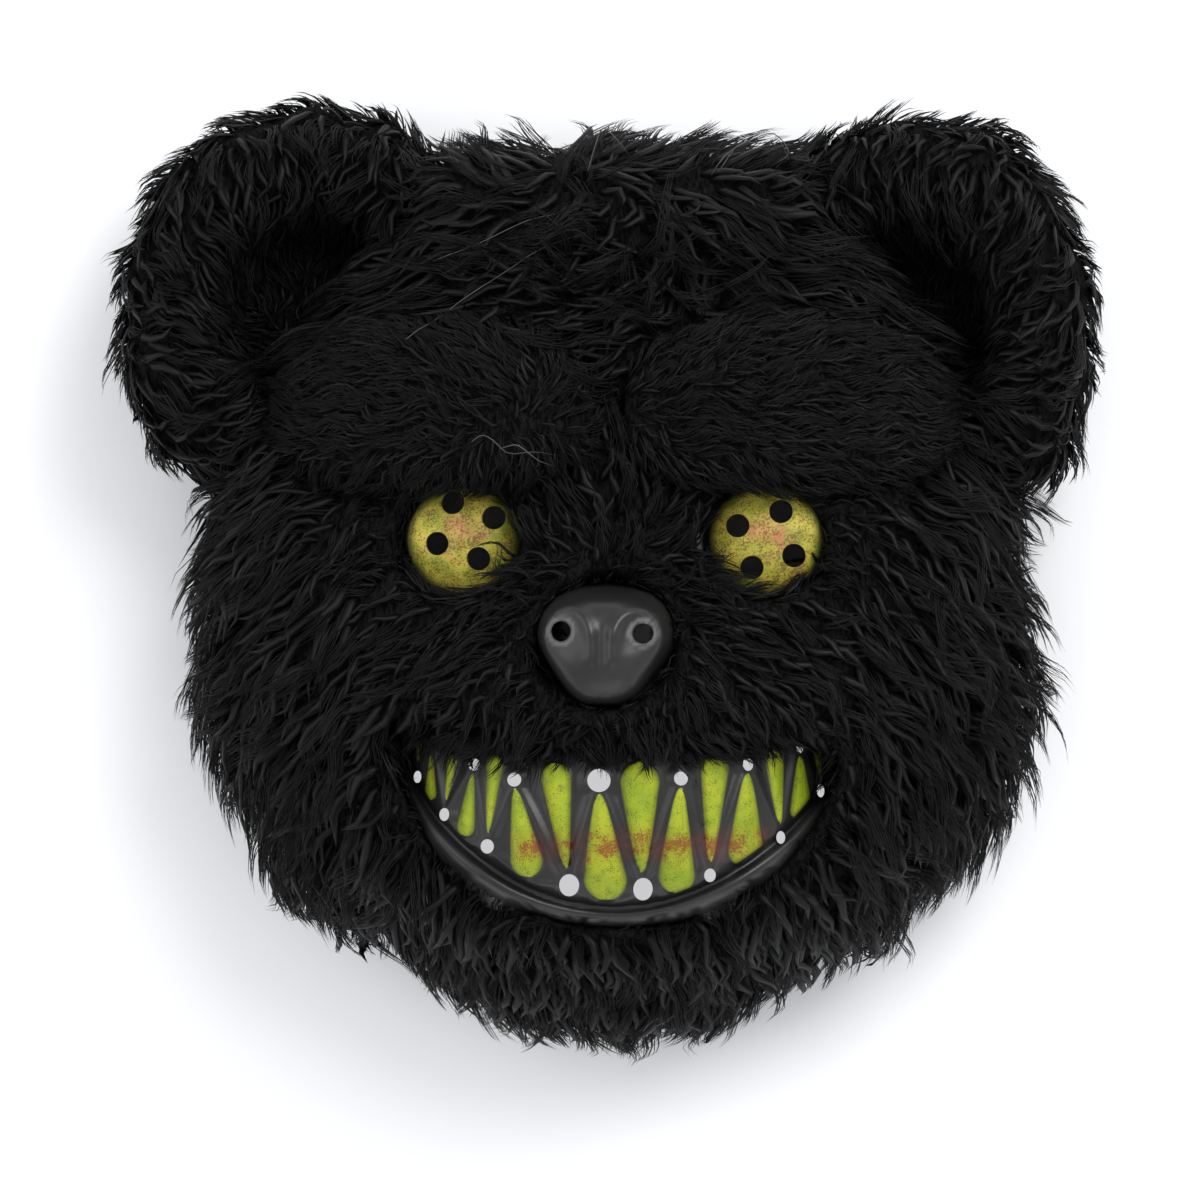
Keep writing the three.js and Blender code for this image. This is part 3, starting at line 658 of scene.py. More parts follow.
co = points_of(face)
x, y, z = co.T
in_teeth = np.full(len(co), -3.0)
for root, tip, half in teeth:
    share = tooth_share(x, y, root, tip, half)
    in_teeth = np.maximum(in_teeth, np.clip((1 - share) * half * 0.6, -3, 3))
above_lip, some_lip = from_lip(x, y)
in_teeth = np.minimum(in_teeth, (above_lip - 3.4) * 0.8)
in_teeth = np.where((some_lip > 0.05) & (y < -36), in_teeth, -3.0)
in_eyes = np.max([EYE_PAINT_RADIUS - np.hypot(x - e[0], y - e[1]) for e in EYES], axis=0)
band = np.exp(-(((y - BAND_Y) / BAND_HALF) ** 2)) * smooth(BAND_START - 6, BAND_START + 4, x)
band = band * smooth(BAND_END + 8, BAND_END - 6, x) * (above_lip > 4)
ring_gap = np.min([np.hypot(x - n[0], y - n[1]) for n in NOSTRILS], axis=0) - NOSTRIL_RADIUS
ring = smooth(RING_WIDTH, RING_WIDTH * 0.3, np.abs(ring_gap - 0.9)) * (z > NOSE_FRONT - 8)
give_points(face, "in_teeth", in_teeth)
give_points(face, "in_eyes", np.clip(in_eyes, -5, 20))
give_points(face, "red_band", band)
give_points(face, "cut_ring", ring)
off_nose = smooth(22.5, 25.0, np.hypot(x, y - NOSE_Y))
# Painted shade: the plastic goes near black where the fur covers it, below the lip and along the
# gully.
shade_under_fur = smooth(-40.0, -36.0, y) * off_nose * smooth(-0.2, -1.0, in_eyes)
shade_under_fur = np.maximum(shade_under_fur, smooth(-4.5, -5.8, above_lip))
give_points(face, "painted_shade", np.maximum(in_gully(x, y), shade_under_fur))

# %% [markdown]
# ## Paint and plastic
#
# Materials are graphs of small nodes. A few helpers keep that short: each adds one node, sets
# or links its inputs and gives back its output.

# %% Node helpers
MIX_A, MIX_B = 6, 7


def group(name, inputs, outputs):
    """An empty node group with named sockets, its input node and its output node."""
    tree = bpy.data.node_groups.new(name, "ShaderNodeTree")
    for kind, socket, value in inputs:
        made = tree.interface.new_socket(socket, in_out="INPUT", socket_type="NodeSocket" + kind)
        if value is not None:
            made.default_value = value
    for kind, socket in outputs:
        tree.interface.new_socket(socket, in_out="OUTPUT", socket_type="NodeSocket" + kind)
    return tree, tree.nodes.new("NodeGroupInput"), tree.nodes.new("NodeGroupOutput")


def feed(tree, slot, value):
    """Links a socket to an input, or sets the input to a plain value."""
    if isinstance(value, (int, float, tuple)):
        slot.default_value = value
    else:
        tree.links.new(value, slot)


def math_node(tree, operation, a, b, clamp=False):
    node = tree.nodes.new("ShaderNodeMath")
    node.operation, node.use_clamp = operation, clamp
    feed(tree, node.inputs[0], a)
    feed(tree, node.inputs[1], b)
    return node.outputs[0]


def times(tree, a, b, clamp=False):
    return math_node(tree, "MULTIPLY", a, b, clamp)


def plus(tree, a, b, clamp=False):
    return math_node(tree, "ADD", a, b, clamp)


def less(tree, a, b):
    return math_node(tree, "SUBTRACT", a, b)


def step_node(tree, value, start, end):
    """0 up to start and 1 from end, with a soft rise between."""
    node = tree.nodes.new("ShaderNodeMapRange")
    node.interpolation_type = "SMOOTHSTEP"
    tree.links.new(value, node.inputs["Value"])
    node.inputs["From Min"].default_value, node.inputs["From Max"].default_value = start, end
    return node.outputs["Result"]


def noise_node(tree, where, scale, detail=3.0, rough=0.5):
    node = tree.nodes.new("ShaderNodeTexNoise")
    tree.links.new(where, node.inputs["Vector"])
    for socket, value in (("Scale", scale), ("Detail", detail), ("Roughness", rough)):
        feed(tree, node.inputs[socket], value)
    return node.outputs["Fac"]


def mix_node(tree, share, a, b):
    """A colour mix whose colours are sockets or plain values."""
    node = tree.nodes.new("ShaderNodeMix")
    node.data_type = "RGBA"
    for socket, value in (("Factor", share), (MIX_A, a), (MIX_B, b)):
        feed(tree, node.inputs[socket], value)
    return node.outputs[2]


# %% Groups, attributes and bumps
def attribute_node(tree, name):
    node = tree.nodes.new("ShaderNodeAttribute")
    node.attribute_name = name
    return node.outputs["Fac"]


def use_group(tree, made, **settings):
    node = tree.nodes.new("ShaderNodeGroup")
    node.node_tree = made
    for socket, value in settings.items():
        feed(tree, node.inputs[socket], value)
    return node.outputs


def bump_on(tree, shader, height, strength, distance):
    """Feeds a height through a Bump node into the shader's normal."""
    node = tree.nodes.new("ShaderNodeBump")
    node.inputs["Strength"].default_value = strength
    node.inputs["Distance"].default_value = distance
    tree.links.new(height, node.inputs["Height"])
    tree.links.new(node.outputs["Normal"], shader.inputs["Normal"])


# %% [markdown]
# Two effects serve several materials, each a node group with named sockets: droplets of
# spatter, and a tone that wanders in soft patches.

# %% Two shared effects
SPATTER, inp, out = group(
    "spatter",
    [("Vector", "Where", None), ("Float", "Scale", 900.0), ("Float", "Amount", 0.4)],
    [("Float", "Drops")],
)
grains = noise_node(SPATTER, inp.outputs["Where"], inp.outputs["Scale"], 2.0, 0.6)
wide = times(SPATTER, inp.outputs["Scale"], 0.16)
patches = noise_node(SPATTER, inp.outputs["Where"], wide)
raised = plus(SPATTER, grains, times(SPATTER, patches, 0.55))
least = less(SPATTER, 1.03, times(SPATTER, inp.outputs["Amount"], 0.35))
over = less(SPATTER, raised, least)
SPATTER.links.new(times(SPATTER, over, 7.0, clamp=True), out.inputs["Drops"])

PATCHES, inp, out = group(
    "wandering_tone",
    [
        ("Vector", "Where", None), ("Float", "Scale", 60.0),
        ("Color", "One", (0, 0, 0, 1)), ("Color", "Other", (1, 1, 1, 1)),
    ],
    [("Color", "Colour")],
)
drift = noise_node(PATCHES, inp.outputs["Where"], inp.outputs["Scale"], 4.0, 0.6)
drift = step_node(PATCHES, drift, 0.32, 0.68)
drift = mix_node(PATCHES, drift, inp.outputs["One"], inp.outputs["Other"])
PATCHES.links.new(drift, out.inputs["Colour"])


def wandering(tree, where, scale, one, other):
    """A colour that wanders between two."""
    return use_group(tree, PATCHES, Where=where, Scale=scale, One=one, Other=other)["Colour"]


# %% [markdown]
# The face mixes dark satin plastic, acid yellow-green teeth with a rusty band, and bloodshot
# eyes. Paint is duller than bare plastic, so roughness follows it too.

# %% The face's material
PLASTIC_DARK, PLASTIC_LIGHT = (0.0095, 0.0091, 0.0087, 1), (0.0175, 0.0168, 0.016, 1)
# The near black of covered plastic and of the gully is painted shade.
PAINTED_SHADE_BLACK = (0.002, 0.002, 0.002, 1)
TOOTH_GREEN, TOOTH_YELLOW = (0.22, 0.31, 0.005, 1), (0.35, 0.40, 0.008, 1)
EYE_GREEN, EYE_YELLOW = (0.28, 0.32, 0.025, 1), (0.60, 0.50, 0.07, 1)
EYE_PINK, EYE_RED = (0.48, 0.16, 0.085, 1), (0.13, 0.032, 0.01, 1)
# The dark olive serves both the real dark specks of paint and the painted shade at the rims of
# teeth and eyes.
RUST, DARK_SPOT_AND_SHADE = (0.20, 0.030, 0.006, 1), (0.035, 0.04, 0.006, 1)
CUT_PALE = (0.09, 0.088, 0.085, 1)

plastic, tree, shader = new_material("moulded_plastic")
where = tree.nodes.new("ShaderNodeTexCoord").outputs["Object"]
tooth_depth, eye_depth = attribute_node(tree, "in_teeth"), attribute_node(tree, "in_eyes")

bare = wandering(tree, where, 55.0, PLASTIC_DARK, PLASTIC_LIGHT)
tooth = wandering(tree, where, 110.0, TOOTH_GREEN, TOOTH_YELLOW)
blotches = step_node(tree, noise_node(tree, where, 170.0, 3.0, 0.6), 0.38, 0.64)
blotches = plus(tree, 0.3, times(tree, blotches, 0.7))
band_share = times(tree, attribute_node(tree, "red_band"), blotches)
rust_amount = plus(tree, 0.3, times(tree, band_share, 1.1))
rust_drops = use_group(tree, SPATTER, Where=where, Scale=1700.0, Amount=rust_amount)
rust_drops = times(tree, rust_drops["Drops"], 0.85)
rust_share = math_node(tree, "MAXIMUM", times(tree, band_share, 0.48), rust_drops)
dark_drops = use_group(tree, SPATTER, Where=where, Scale=2300.0, Amount=0.6)["Drops"]
tooth = mix_node(tree, times(tree, dark_drops, 0.6), tooth, DARK_SPOT_AND_SHADE)
# The soft dark rim inside a tooth's edge is partly the paint's soft edge and partly painted shade
# where the tooth dips to the plastic round it.
tooth_edge_shade = less(tree, 1.0, step_node(tree, tooth_depth, 0.0, 1.5))
tooth = mix_node(tree, times(tree, tooth_edge_shade, 0.7), tooth, DARK_SPOT_AND_SHADE)
tooth = mix_node(tree, rust_share, tooth, RUST)

eye = wandering(tree, where, 140.0, EYE_GREEN, EYE_YELLOW)
heart = times(tree, step_node(tree, eye_depth, 3.0, 15.0), 0.9)
blood = plus(tree, noise_node(tree, where, 75.0, 3.0, 0.6), times(tree, heart, 0.26))
blood = step_node(tree, blood, 0.58, 0.86)
eye = mix_node(tree, blood, eye, EYE_PINK)
eye_drops = use_group(tree, SPATTER, Where=where, Scale=1500.0, Amount=0.8)["Drops"]
eye = mix_node(tree, times(tree, eye_drops, 0.7), eye, EYE_RED)
# The dark rim round each eye is painted shade from the fur round it, blended with the paint's soft
# edge.
eye_rim_shade = less(tree, 1.0, step_node(tree, eye_depth, 0.2, 3.4))
eye = mix_node(tree, times(tree, eye_rim_shade, 0.85), eye, DARK_SPOT_AND_SHADE)

bare = mix_node(tree, times(tree, band_share, 0.3), bare, RUST)
# Painted shade: near black where fur covers the plastic and along the gully.
shade_share = times(tree, attribute_node(tree, "painted_shade"), 0.85)
bare = mix_node(tree, shade_share, bare, PAINTED_SHADE_BLACK)
bare = mix_node(tree, attribute_node(tree, "cut_ring"), bare, CUT_PALE)
in_tooth, in_eye = step_node(tree, tooth_depth, 0.1, 0.55), step_node(tree, eye_depth, 0.0, 0.7)
colour = mix_node(tree, in_tooth, bare, tooth)
colour = mix_node(tree, in_eye, colour, eye)
tree.links.new(colour, shader.inputs["Base Color"])
painted = math_node(tree, "MAXIMUM", in_tooth, in_eye)
rough = plus(tree, 0.35, times(tree, painted, 0.27))
tree.links.new(rough, shader.inputs["Roughness"])
shader.inputs["Specular IOR Level"].default_value = 0.42
bump_on(tree, shader, noise_node(tree, where, 420.0, 3.0, 0.6), 0.12, 0.0006)

face.data.shade_smooth()
face.data.set_sharp_from_angle(angle=math.radians(78))
dress(face, plastic, "face_shell")

# %% [markdown]
# A flat map lays the face out: its outside fills nine tenths of the map as seen from above,
# and the plain inside sits squeezed in a strip at the edge.

# %% Flat map of the face
outward = read_each(face.data.polygons, "normal", 3)[:, 2] > -0.02
loop_totals = read_each(face.data.polygons, "loop_total", 1, np.int32)[:, 0]
loop_points = read_each(face.data.loops, "vertex_index", 1, np.int32)[:, 0]
span = 2 * SHELL_DOWN + 4
flat = (co[loop_points][:, :2] - [0, HEAD_MIDDLE_Y]) / span + 0.5
on_top = np.repeat(outward, loop_totals)
flat[:, 0] = np.where(on_top, flat[:, 0] * 0.9, 0.92 + flat[:, 0] * 0.08)
layer = face.data.uv_layers.new(name="OFBake")
layer.data.foreach_set("uv", flat.astype(np.float32).reshape(-1))

# %% [markdown]
# ## The pelt under the hair
#
# Real fake fur is a woven backing with pile on it. Each soft piece of the frame gives such a
# backing: its own solid, made even with a fine voxel mesh, smoothed so that the carved locks
# are gone, and drawn in by the depth of the pile. A few wide dents and swellings, given by
# place, spread and depth, bring its outline to the photograph's. Under the head's fur it stays
# clear of the plastic shell. Brows and ears are stuffed pads. A cloth simulation would swell
# them, but none of their skin shows under the hair, so none is run.
#
# Each line of PELTS gives a name, the voxel size and the rounds of smoothing, and how far the
# pelt is drawn in, in millimetres. Each dent is its place, its spread and its depth.

# %% Which pelts, and how they are dented
PELTS = {
    "head_fur": ("head_pelt", 4.8, 12, 3.5),
    "brow_left": ("brow_pad_left", 3.6, 4, 1.2),
    "brow_right": ("brow_pad_right", 3.6, 4, 1.2),
    "ear_left": ("ear_pad_left", 3.8, 4, -0.8),
    "ear_right": ("ear_pad_right", 3.8, 4, -0.8),
}
DENTS = {
    "head_fur": [
        ((2.0, 86.0), (34.0, 15.0), 6.0), ((-45.0, 115.0), (14.0, 12.0), -11.0),
        ((45.0, 114.0), (15.0, 12.0), -11.0), ((-12.0, 118.0), (11.0, 10.0), -6.0),
        ((121.0, 4.0), (16.0, 17.0), 5.0), ((92.0, -96.0), (22.0, 20.0), 5.5),
        ((-74.0, -106.0), (16.0, 12.0), 4.5), ((-116.0, -42.0), (14.0, 22.0), -5.0),
        ((118.0, -44.0), (12.0, 16.0), -4.0), ((-120.0, -6.0), (10.0, 20.0), -2.5),
        ((112.0, -72.0), (10.0, 12.0), -2.5), ((-40.0, -122.0), (18.0, 10.0), -2.0),
        ((20.0, 119.0), (10.0, 9.0), -3.0),
    ],
    "ear_left": [((-132.0, 64.0), (14.0, 26.0), -5.0), ((-120.0, 118.0), (18.0, 14.0), -2.6)],
    "ear_right": [
        ((132.0, 35.0), (12.0, 16.0), -4.0), ((112.0, 122.0), (22.0, 14.0), -3.5),
        ((144.0, 66.0), (8.0, 14.0), 1.5),
    ],
}
CLEAR_OF_SHELL = 2.2
LOWEST_PELT = 0.3

# %% [markdown]
# What little of the backing shows between the locks is a black combed weave, painted darker
# than the hair as the shade in the gaps.

# %% The backing's material
# The weave's deepest black is painted shade in the gaps between locks.
BACKING_SHADED, BACKING_WORN = (0.0008, 0.0008, 0.0010, 1), (0.0090, 0.0087, 0.0090, 1)

backing, tree, shader = new_material("fur_backing")
combed = tree.nodes.new("ShaderNodeMapping")
combed.inputs["Scale"].default_value = (1.0, 0.3, 0.6)
tree.links.new(tree.nodes.new("ShaderNodeTexCoord").outputs["Object"], combed.inputs["Vector"])
weave_at = combed.outputs["Vector"]
weave = wandering(tree, weave_at, 1000.0, BACKING_SHADED, BACKING_WORN)
tree.links.new(weave, shader.inputs["Base Color"])
shader.inputs["Roughness"].default_value = 0.95
shader.inputs["Specular IOR Level"].default_value = 0.05
bump_on(tree, shader, noise_node(tree, weave_at, 1300.0, 2.0, 0.6), 0.9, 0.0006)


# %% [markdown]
# Each pelt is remeshed, smoothed and drawn in along its own normals.

# %% Making the pelts
def normals_of(piece):
    return read_each(piece.data.vertices, "normal", 3).astype(float)


def search_tree(pieces):
    """One search tree of several meshes, in face millimetres."""
    corners, faces = [], []
    for piece in pieces:
        first = len(corners)
        corners.extend(Vector(p) for p in points_of(piece).astype(float))
        faces.extend([v + first for v in p.vertices] for p in piece.data.polygons)
    return BVHTree.FromPolygons(corners, faces)


face_tree = search_tree([face])
pelts = {}
for node, (name, voxel, rounds, depth) in PELTS.items():
    pelt = bpy.data.objects.new(name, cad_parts[node].data.copy())
    pelt.matrix_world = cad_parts[node].matrix_world
    bpy.context.scene.collection.objects.link(pelt)
    weld = pelt.modifiers.new("weld", "WELD")
    weld.merge_threshold = 1e-6
    even = pelt.modifiers.new("even", "REMESH")
    even.mode, even.voxel_size = "VOXEL", voxel * MM
    calm = pelt.modifiers.new("calm", "SMOOTH")
    calm.factor, calm.iterations = 0.5, rounds
    made = applied(pelt)
    pelt.modifiers.clear()
    pelt.data = made
    places, out_normals = points_of(pelt), normals_of(pelt)
    drawn_in = np.full(len(places), depth)
    for middle, spread, amount in DENTS.get(node, []):
        drawn_in = drawn_in + amount * hill(places[:, 0], places[:, 1], middle, spread)
    if node == "head_fur":
        for i, place in enumerate(places):
            hit, _, _, gap = face_tree.find_nearest(Vector(place))
            away = np.array(place - np.array(hit))
            if np.dot(away, out_normals[i]) <= 0.3 * gap or gap < CLEAR_OF_SHELL:
                drawn_in[i] = 0.0
            else:
                drawn_in[i] = min(drawn_in[i], max(gap - CLEAR_OF_SHELL, 0.0))
    places = places - out_normals * drawn_in[:, None]
    places[:, 2] = np.maximum(places[:, 2], LOWEST_PELT)
    pelt.data.vertices.foreach_set("co", ((places + AXIS) * MM).astype(np.float32).reshape(-1))
    pelt.data.update()
    pelt.data.shade_smooth()
    dress(pelt, backing, node)
    pelts[node] = pelt
    print(name, triangles(pelt), "triangles")

# %% [markdown]
# ## How the hair lies
#
# Long pile shows which way it was brushed. Below the brows it fans out from the nose and
# falls with gravity, round the eyes it parts, and below the lip it points away from it. The
# crown falls to both sides of a parting and rises at its top edge. The brows are brushed
# outward from a whorl each, and the ears are brushed into their dishes. One function per pelt
# gives that direction, and slow waves bend it so that no two locks agree.

# %% Directions of the pile
FAN_FROM = np.array([0.0, -10.0])
FALL_LEAST, FALL_MORE = 0.5, 1.0
EYE_PARTING, EYE_PARTING_RADIUS = 1.1, 25.0
PARTING_X, PARTING_LEAN, PARTING_WANDERS, PARTING_WIDTH = 16, 0.9, 12, 30
EAR_MIDDLES = {"ear_left": np.array([-95.0, 79.0]), "ear_right": np.array([89.0, 74.0])}
EAR_RADIUS = 55.0
BROW_WHORLS = {-1: np.array([-34.0, 43.0]), 1: np.array([-12.0, 48.0])}


def head_flow(p, n):
    from_nose = p[:, :2] - FAN_FROM
    gap = np.linalg.norm(from_nose, axis=1)
    fall = FALL_LEAST + FALL_MORE * smooth(35.0, 110.0, gap)
    fan = unit(from_nose) - np.stack([np.zeros(len(p)), fall], axis=-1)
    for middle in EYES:
        away = p[:, :2] - middle
        near = np.exp(-((np.linalg.norm(away, axis=1) / EYE_PARTING_RADIUS) ** 4))
        fan = fan + unit(away) * near[:, None] * EYE_PARTING
    above = from_lip(p[:, 0], p[:, 1])[0]
    rise_x = from_lip(p[:, 0] + 1, p[:, 1])[0] - from_lip(p[:, 0] - 1, p[:, 1])[0]
    rise_y = from_lip(p[:, 0], p[:, 1] + 1)[0] - from_lip(p[:, 0], p[:, 1] - 1)[0]
    beside_lip = smooth(-30.0, -8.0, above) * smooth(8.0, 0.0, above)
    beside_lip = beside_lip * smooth(-56.0, -70.0, p[:, 1]) * smooth(90.0, 76.0, np.abs(p[:, 0]))
    fan = fan - np.stack([rise_x, rise_y], axis=-1) * beside_lip[:, None]
    middle = PARTING_X - PARTING_LEAN * (p[:, 1] - 90) + PARTING_WANDERS * slow_waves(p, 11, 34.0)
    parting = np.tanh((p[:, 0] - middle) / PARTING_WIDTH)
    upward = smooth(106.0, 126.0, p[:, 1] + 8 * slow_waves(p, 12, 30.0))
    crown = np.stack([parting * (1 - 0.3 * upward), -0.6 + 1.1 * upward], axis=-1)
    high = smooth(42.0, 62.0, p[:, 1])[:, None]
    plan = unit(fan) * (1 - high) + unit(crown) * high
    return np.concatenate([unit(plan), np.full((len(p), 1), -0.3)], axis=1)


def brow_flow(side):
    def flow(p, n):
        from_whorl = p[:, :2] - BROW_WHORLS[side]
        near = smooth(0.0, 8.0, np.linalg.norm(from_whorl, axis=1))[:, None]
        plan = 0.8 * unit(from_whorl) * near + [0.6 * side, 0.0]
        plan[:, 1] -= 1.3 * smooth(37.0, 28.0, p[:, 1])
        return np.concatenate([unit(plan), np.full((len(p), 1), -0.25)], axis=1)

    return flow


def ear_flow(node):
    middle = EAR_MIDDLES[node]
    side = np.sign(middle[0])

    def flow(p, n):
        out = p[:, :2] - middle
        away = np.linalg.norm(out, axis=1)
        outward = out / np.maximum(away, 1e-6)[:, None]
        on_wall = smooth(0.72, 0.95, away / EAR_RADIUS) * smooth(0.75, 0.3, n[:, 2])
        inward = -outward * smooth(0.1, 0.35, away / EAR_RADIUS)[:, None] + [0.0, -0.5]
        round_it = np.stack([outward[:, 1], -outward[:, 0]], axis=-1) * side
        plan = inward * (1 - on_wall)[:, None] + (outward * 0.3 + round_it) * on_wall[:, None]
        return np.concatenate([plan, (0.4 * on_wall)[:, None]], axis=1)

    return flow


def slow_waves(p, seed, length=26.0):
    """A smooth wave field between about -1 and 1."""
    phases = np.random.default_rng(seed).uniform(0, 2 * math.pi, 6)
    k = 2 * math.pi / length
    x, y, z = p.T
    return (
        np.sin(k * x + phases[0] + 1.3 * np.sin(0.6 * k * y + phases[1]))
        + np.sin(0.9 * k * y + phases[2] + 1.1 * np.sin(0.7 * k * (x + z) + phases[3]))
        + 0.6 * np.sin(1.9 * k * (x - y) + phases[4]) * np.sin(1.7 * k * (y + z) + phases[5])
    ) / 2.2


# %% [markdown]
# Roots are strewn evenly over the outer side of each backing and thinned until none stand
# closer than the wanted gap. A root is left out where another piece covers it, where it would
# face the plastic or the table, and under the hem. Only the ears hang free of the table, so
# they have hair on their undersides too.

# %% Strewing roots
HEM = 2.0
OVERSOWN = 3.2
ROOT_CLEARANCE = 0.6


def too_close(d, gap):
    return d[0] * d[0] + d[1] * d[1] + d[2] * d[2] < gap * gap


def strew(pelt, gap, cover, reach=11.0, upward=False, lowest=-0.45):
    """Places and normals spread over the outer side of a pelt, at least gap apart."""
    pelt.data.calc_loop_triangles()
    corners = read_each(pelt.data.loop_triangles, "vertices", 3, np.int32)
    places, out_normals = points_of(pelt), normals_of(pelt)
    a, b, c = (places[corners[:, i]] for i in range(3))
    area = np.linalg.norm(np.cross(b - a, c - a), axis=1) / 2
    count = int(area.sum() / gap**2 * OVERSOWN)
    chosen = draw.choice(len(area), count, p=area / area.sum())
    u, v = np.sqrt(draw.random(count)), draw.random(count)
    share = np.stack([1 - u, u * (1 - v), u * v], axis=-1)[:, :, None]
    at = share[:, 0] * a[chosen] + share[:, 1] * b[chosen] + share[:, 2] * c[chosen]
    facing = unit(sum(share[:, i] * out_normals[corners[:, i]][chosen] for i in range(3)))
    kept, cells, around = [], {}, list(itertools.product((-1, 0, 1), repeat=3))
    for i, place in enumerate(at):
        if facing[i, 2] < lowest or place[2] < HEM:
            continue
        key = tuple((place // gap).astype(int))
        others = [o for step in around for o in cells.get(tuple(map(add, key, step)), ())]
        if any(too_close(at[other] - place, gap) for other in others):
            continue
        start = Vector(place + facing[i] * ROOT_CLEARANCE)
        aim = Vector((0, 0, 1)) if upward else Vector(facing[i])
        if cover.ray_cast(start, aim, reach)[0] is not None:
            continue
        cells.setdefault(key, []).append(i)
        kept.append(i)
    return at[kept], facing[kept]


# %% [markdown]
# Every lock has one leading hair. It is led over the coat in short steps: at each step it
# turns toward the direction of the pile, lifts off the surface by an angle that shrinks
# toward its tip, and never dips below the backing. On the flanks the hair stands off more,
# so the outline is ragged.

# %% Leading hairs
STEPS = 9
FINE_RINGS = np.array([0.0, 0.24, 0.5, 0.77, 1.0])
BROAD_RINGS = np.array([0.0, 0.32, 0.68, 1.0])
LIFT_FLAT, LIFT_FLAT_TIP = 38.0, 3.0
LIFT_FLANK, LIFT_FLANK_TIP = 38.0, 9.0
ROOT_DEPTH, LEAST_OFF, PUSH_MOST = 0.8, 0.4, 4.0
AIM_SHARE, WAVE = 0.65, 0.55


def turned(vectors, about, angles):
    """Vectors turned about unit axes by the given angles."""
    c, s = np.cos(angles)[:, None], np.sin(angles)[:, None]
    along = np.sum(vectors * about, axis=1, keepdims=True) * about
    return vectors * c + np.cross(about, vectors) * s + along * (1 - c)


def at_shares(paths, shares):
    """Points of even paths at the given shares of their length, one row of shares a path."""
    last = paths.shape[1] - 1
    spots = shares * last
    below = np.minimum(spots.astype(int), last - 1)
    part = (spots - below)[:, :, None]
    rows = np.arange(len(paths))[:, None]
    return paths[rows, below] * (1 - part) + paths[rows, below + 1] * part


def lead(roots, facing, flow, lengths, bend, curl, lift_by, least_tip):
    """Even paths of the leading hairs, with STEPS + 1 points each."""
    phase = 3.0 * math.pi * slow_waves(roots, 51, 60.0)
    count = len(roots)
    at = roots - facing * ROOT_DEPTH
    normal, heading = facing.copy(), facing.copy()
    path = [at]
    flank = smooth(0.6, 0.15, facing[:, 2])
    swing = draw.uniform(0, 2 * math.pi, count)
    for step in range(STEPS):
        t = (step + 0.5) / STEPS
        wanted = flow(at, normal)
        along = unit(wanted - np.sum(wanted * normal, axis=1, keepdims=True) * normal)
        own = bend + curl * (t + 0.6 * np.sin(swing + 4.5 * t))
        along = turned(along, normal, own + WAVE * np.sin(phase + 5.4 * t))
        flat_lift = LIFT_FLAT_TIP + (LIFT_FLAT - LIFT_FLAT_TIP) * (1 - t) ** 2
        flank_lift = LIFT_FLANK_TIP + (LIFT_FLANK - LIFT_FLANK_TIP) * (1 - t) ** 1.3
        lift = np.radians((flat_lift + (flank_lift - flat_lift) * flank) * lift_by)
        aim = along * np.cos(lift)[:, None] + normal * np.sin(lift)[:, None]
        heading = unit(heading * (1 - AIM_SHARE) + aim * AIM_SHARE)
        at = at + heading * (lengths / STEPS)[:, None]
        least = LEAST_OFF + (np.broadcast_to(least_tip, count) - LEAST_OFF) * t
        for i in range(count):
            hit, hit_normal, _, gap = ground.find_nearest(Vector(at[i]))
            hit_normal = np.array(hit_normal)
            off = np.dot(at[i] - np.array(hit), hit_normal)
            if off < least[i]:
                at[i] += hit_normal * min(least[i] - off, PUSH_MOST)
            normal[i] = unit(normal[i] * 0.5 + hit_normal * 0.5)
        at[:, 2] = np.maximum(at[:, 2], LEAST_OFF)
        path.append(at.copy())
    return np.stack(path, axis=1)


# %% [markdown]
# The coat has two layers, as real pile has. An underlayer of broad flat locks hides the
# backing. Over it lie fine hairs: a lock of them starts round each leading hair, and they lean
# together toward their tips. Every lock and hair is a thin closed spindle of three sides,
# flattened against the coat, and carries its tone and its place along and across for the
# material. Particle hair would be quicker to make, but an export to other programs drops it.

# %% Fine hairs round a leading hair
PULL_TOGETHER = 0.75


def hairs_round(paths, facing, each, spread, stray, t):
    """Fine hairs round each leading hair: their paths, facing and the number of their lock."""
    lock = np.repeat(np.arange(len(paths)), each)
    count = len(lock)
    out = facing[lock]
    start = paths[:, 0][lock]
    tangent = unit(paths[:, STEPS // 2][lock] - start)
    aside = unit(np.cross(tangent, out))
    ahead = np.cross(out, aside)
    around = draw.uniform(0, 2 * math.pi, count)
    reach = spread * np.sqrt(draw.uniform(0.02, 1, count))
    push = aside * (reach * np.cos(around))[:, None] + ahead * (reach * np.sin(around))[:, None]
    loose = draw.random(count) < stray
    together = PULL_TOGETHER
    pull = np.where(loose, draw.uniform(-0.6, 0.2, count), together * draw.uniform(0.6, 1.1, count))
    shares = t[None, :] * draw.uniform(0.68, 1.0, count)[:, None]
    moved = at_shares(paths[lock], shares)
    gathered = (1 - pull[:, None] * t[None, :] ** 0.9)[:, :, None]
    phase, sway = draw.uniform(0, 2 * math.pi, (2, count)), draw.uniform(0.2, 0.8, (2, count))
    wave = np.sin(phase[0][:, None] + t * 6.0) * sway[0][:, None] * t
    rise = np.sin(phase[1][:, None] + t * 4.0) * sway[1][:, None] * t * 0.6 + 0.5 * t
    moved = moved + push[:, None] * gathered + aside[:, None] * wave[:, :, None]
    moved = moved + out[:, None] * rise[:, :, None]
    moved[:, :, 2] = np.maximum(moved[:, :, 2], 0.3)
    return moved, out, lock


# %% Spindles
BAKE_WIDTH = 0.004
SIDES = 3
TRIANGLE_WIDTH = 1.74


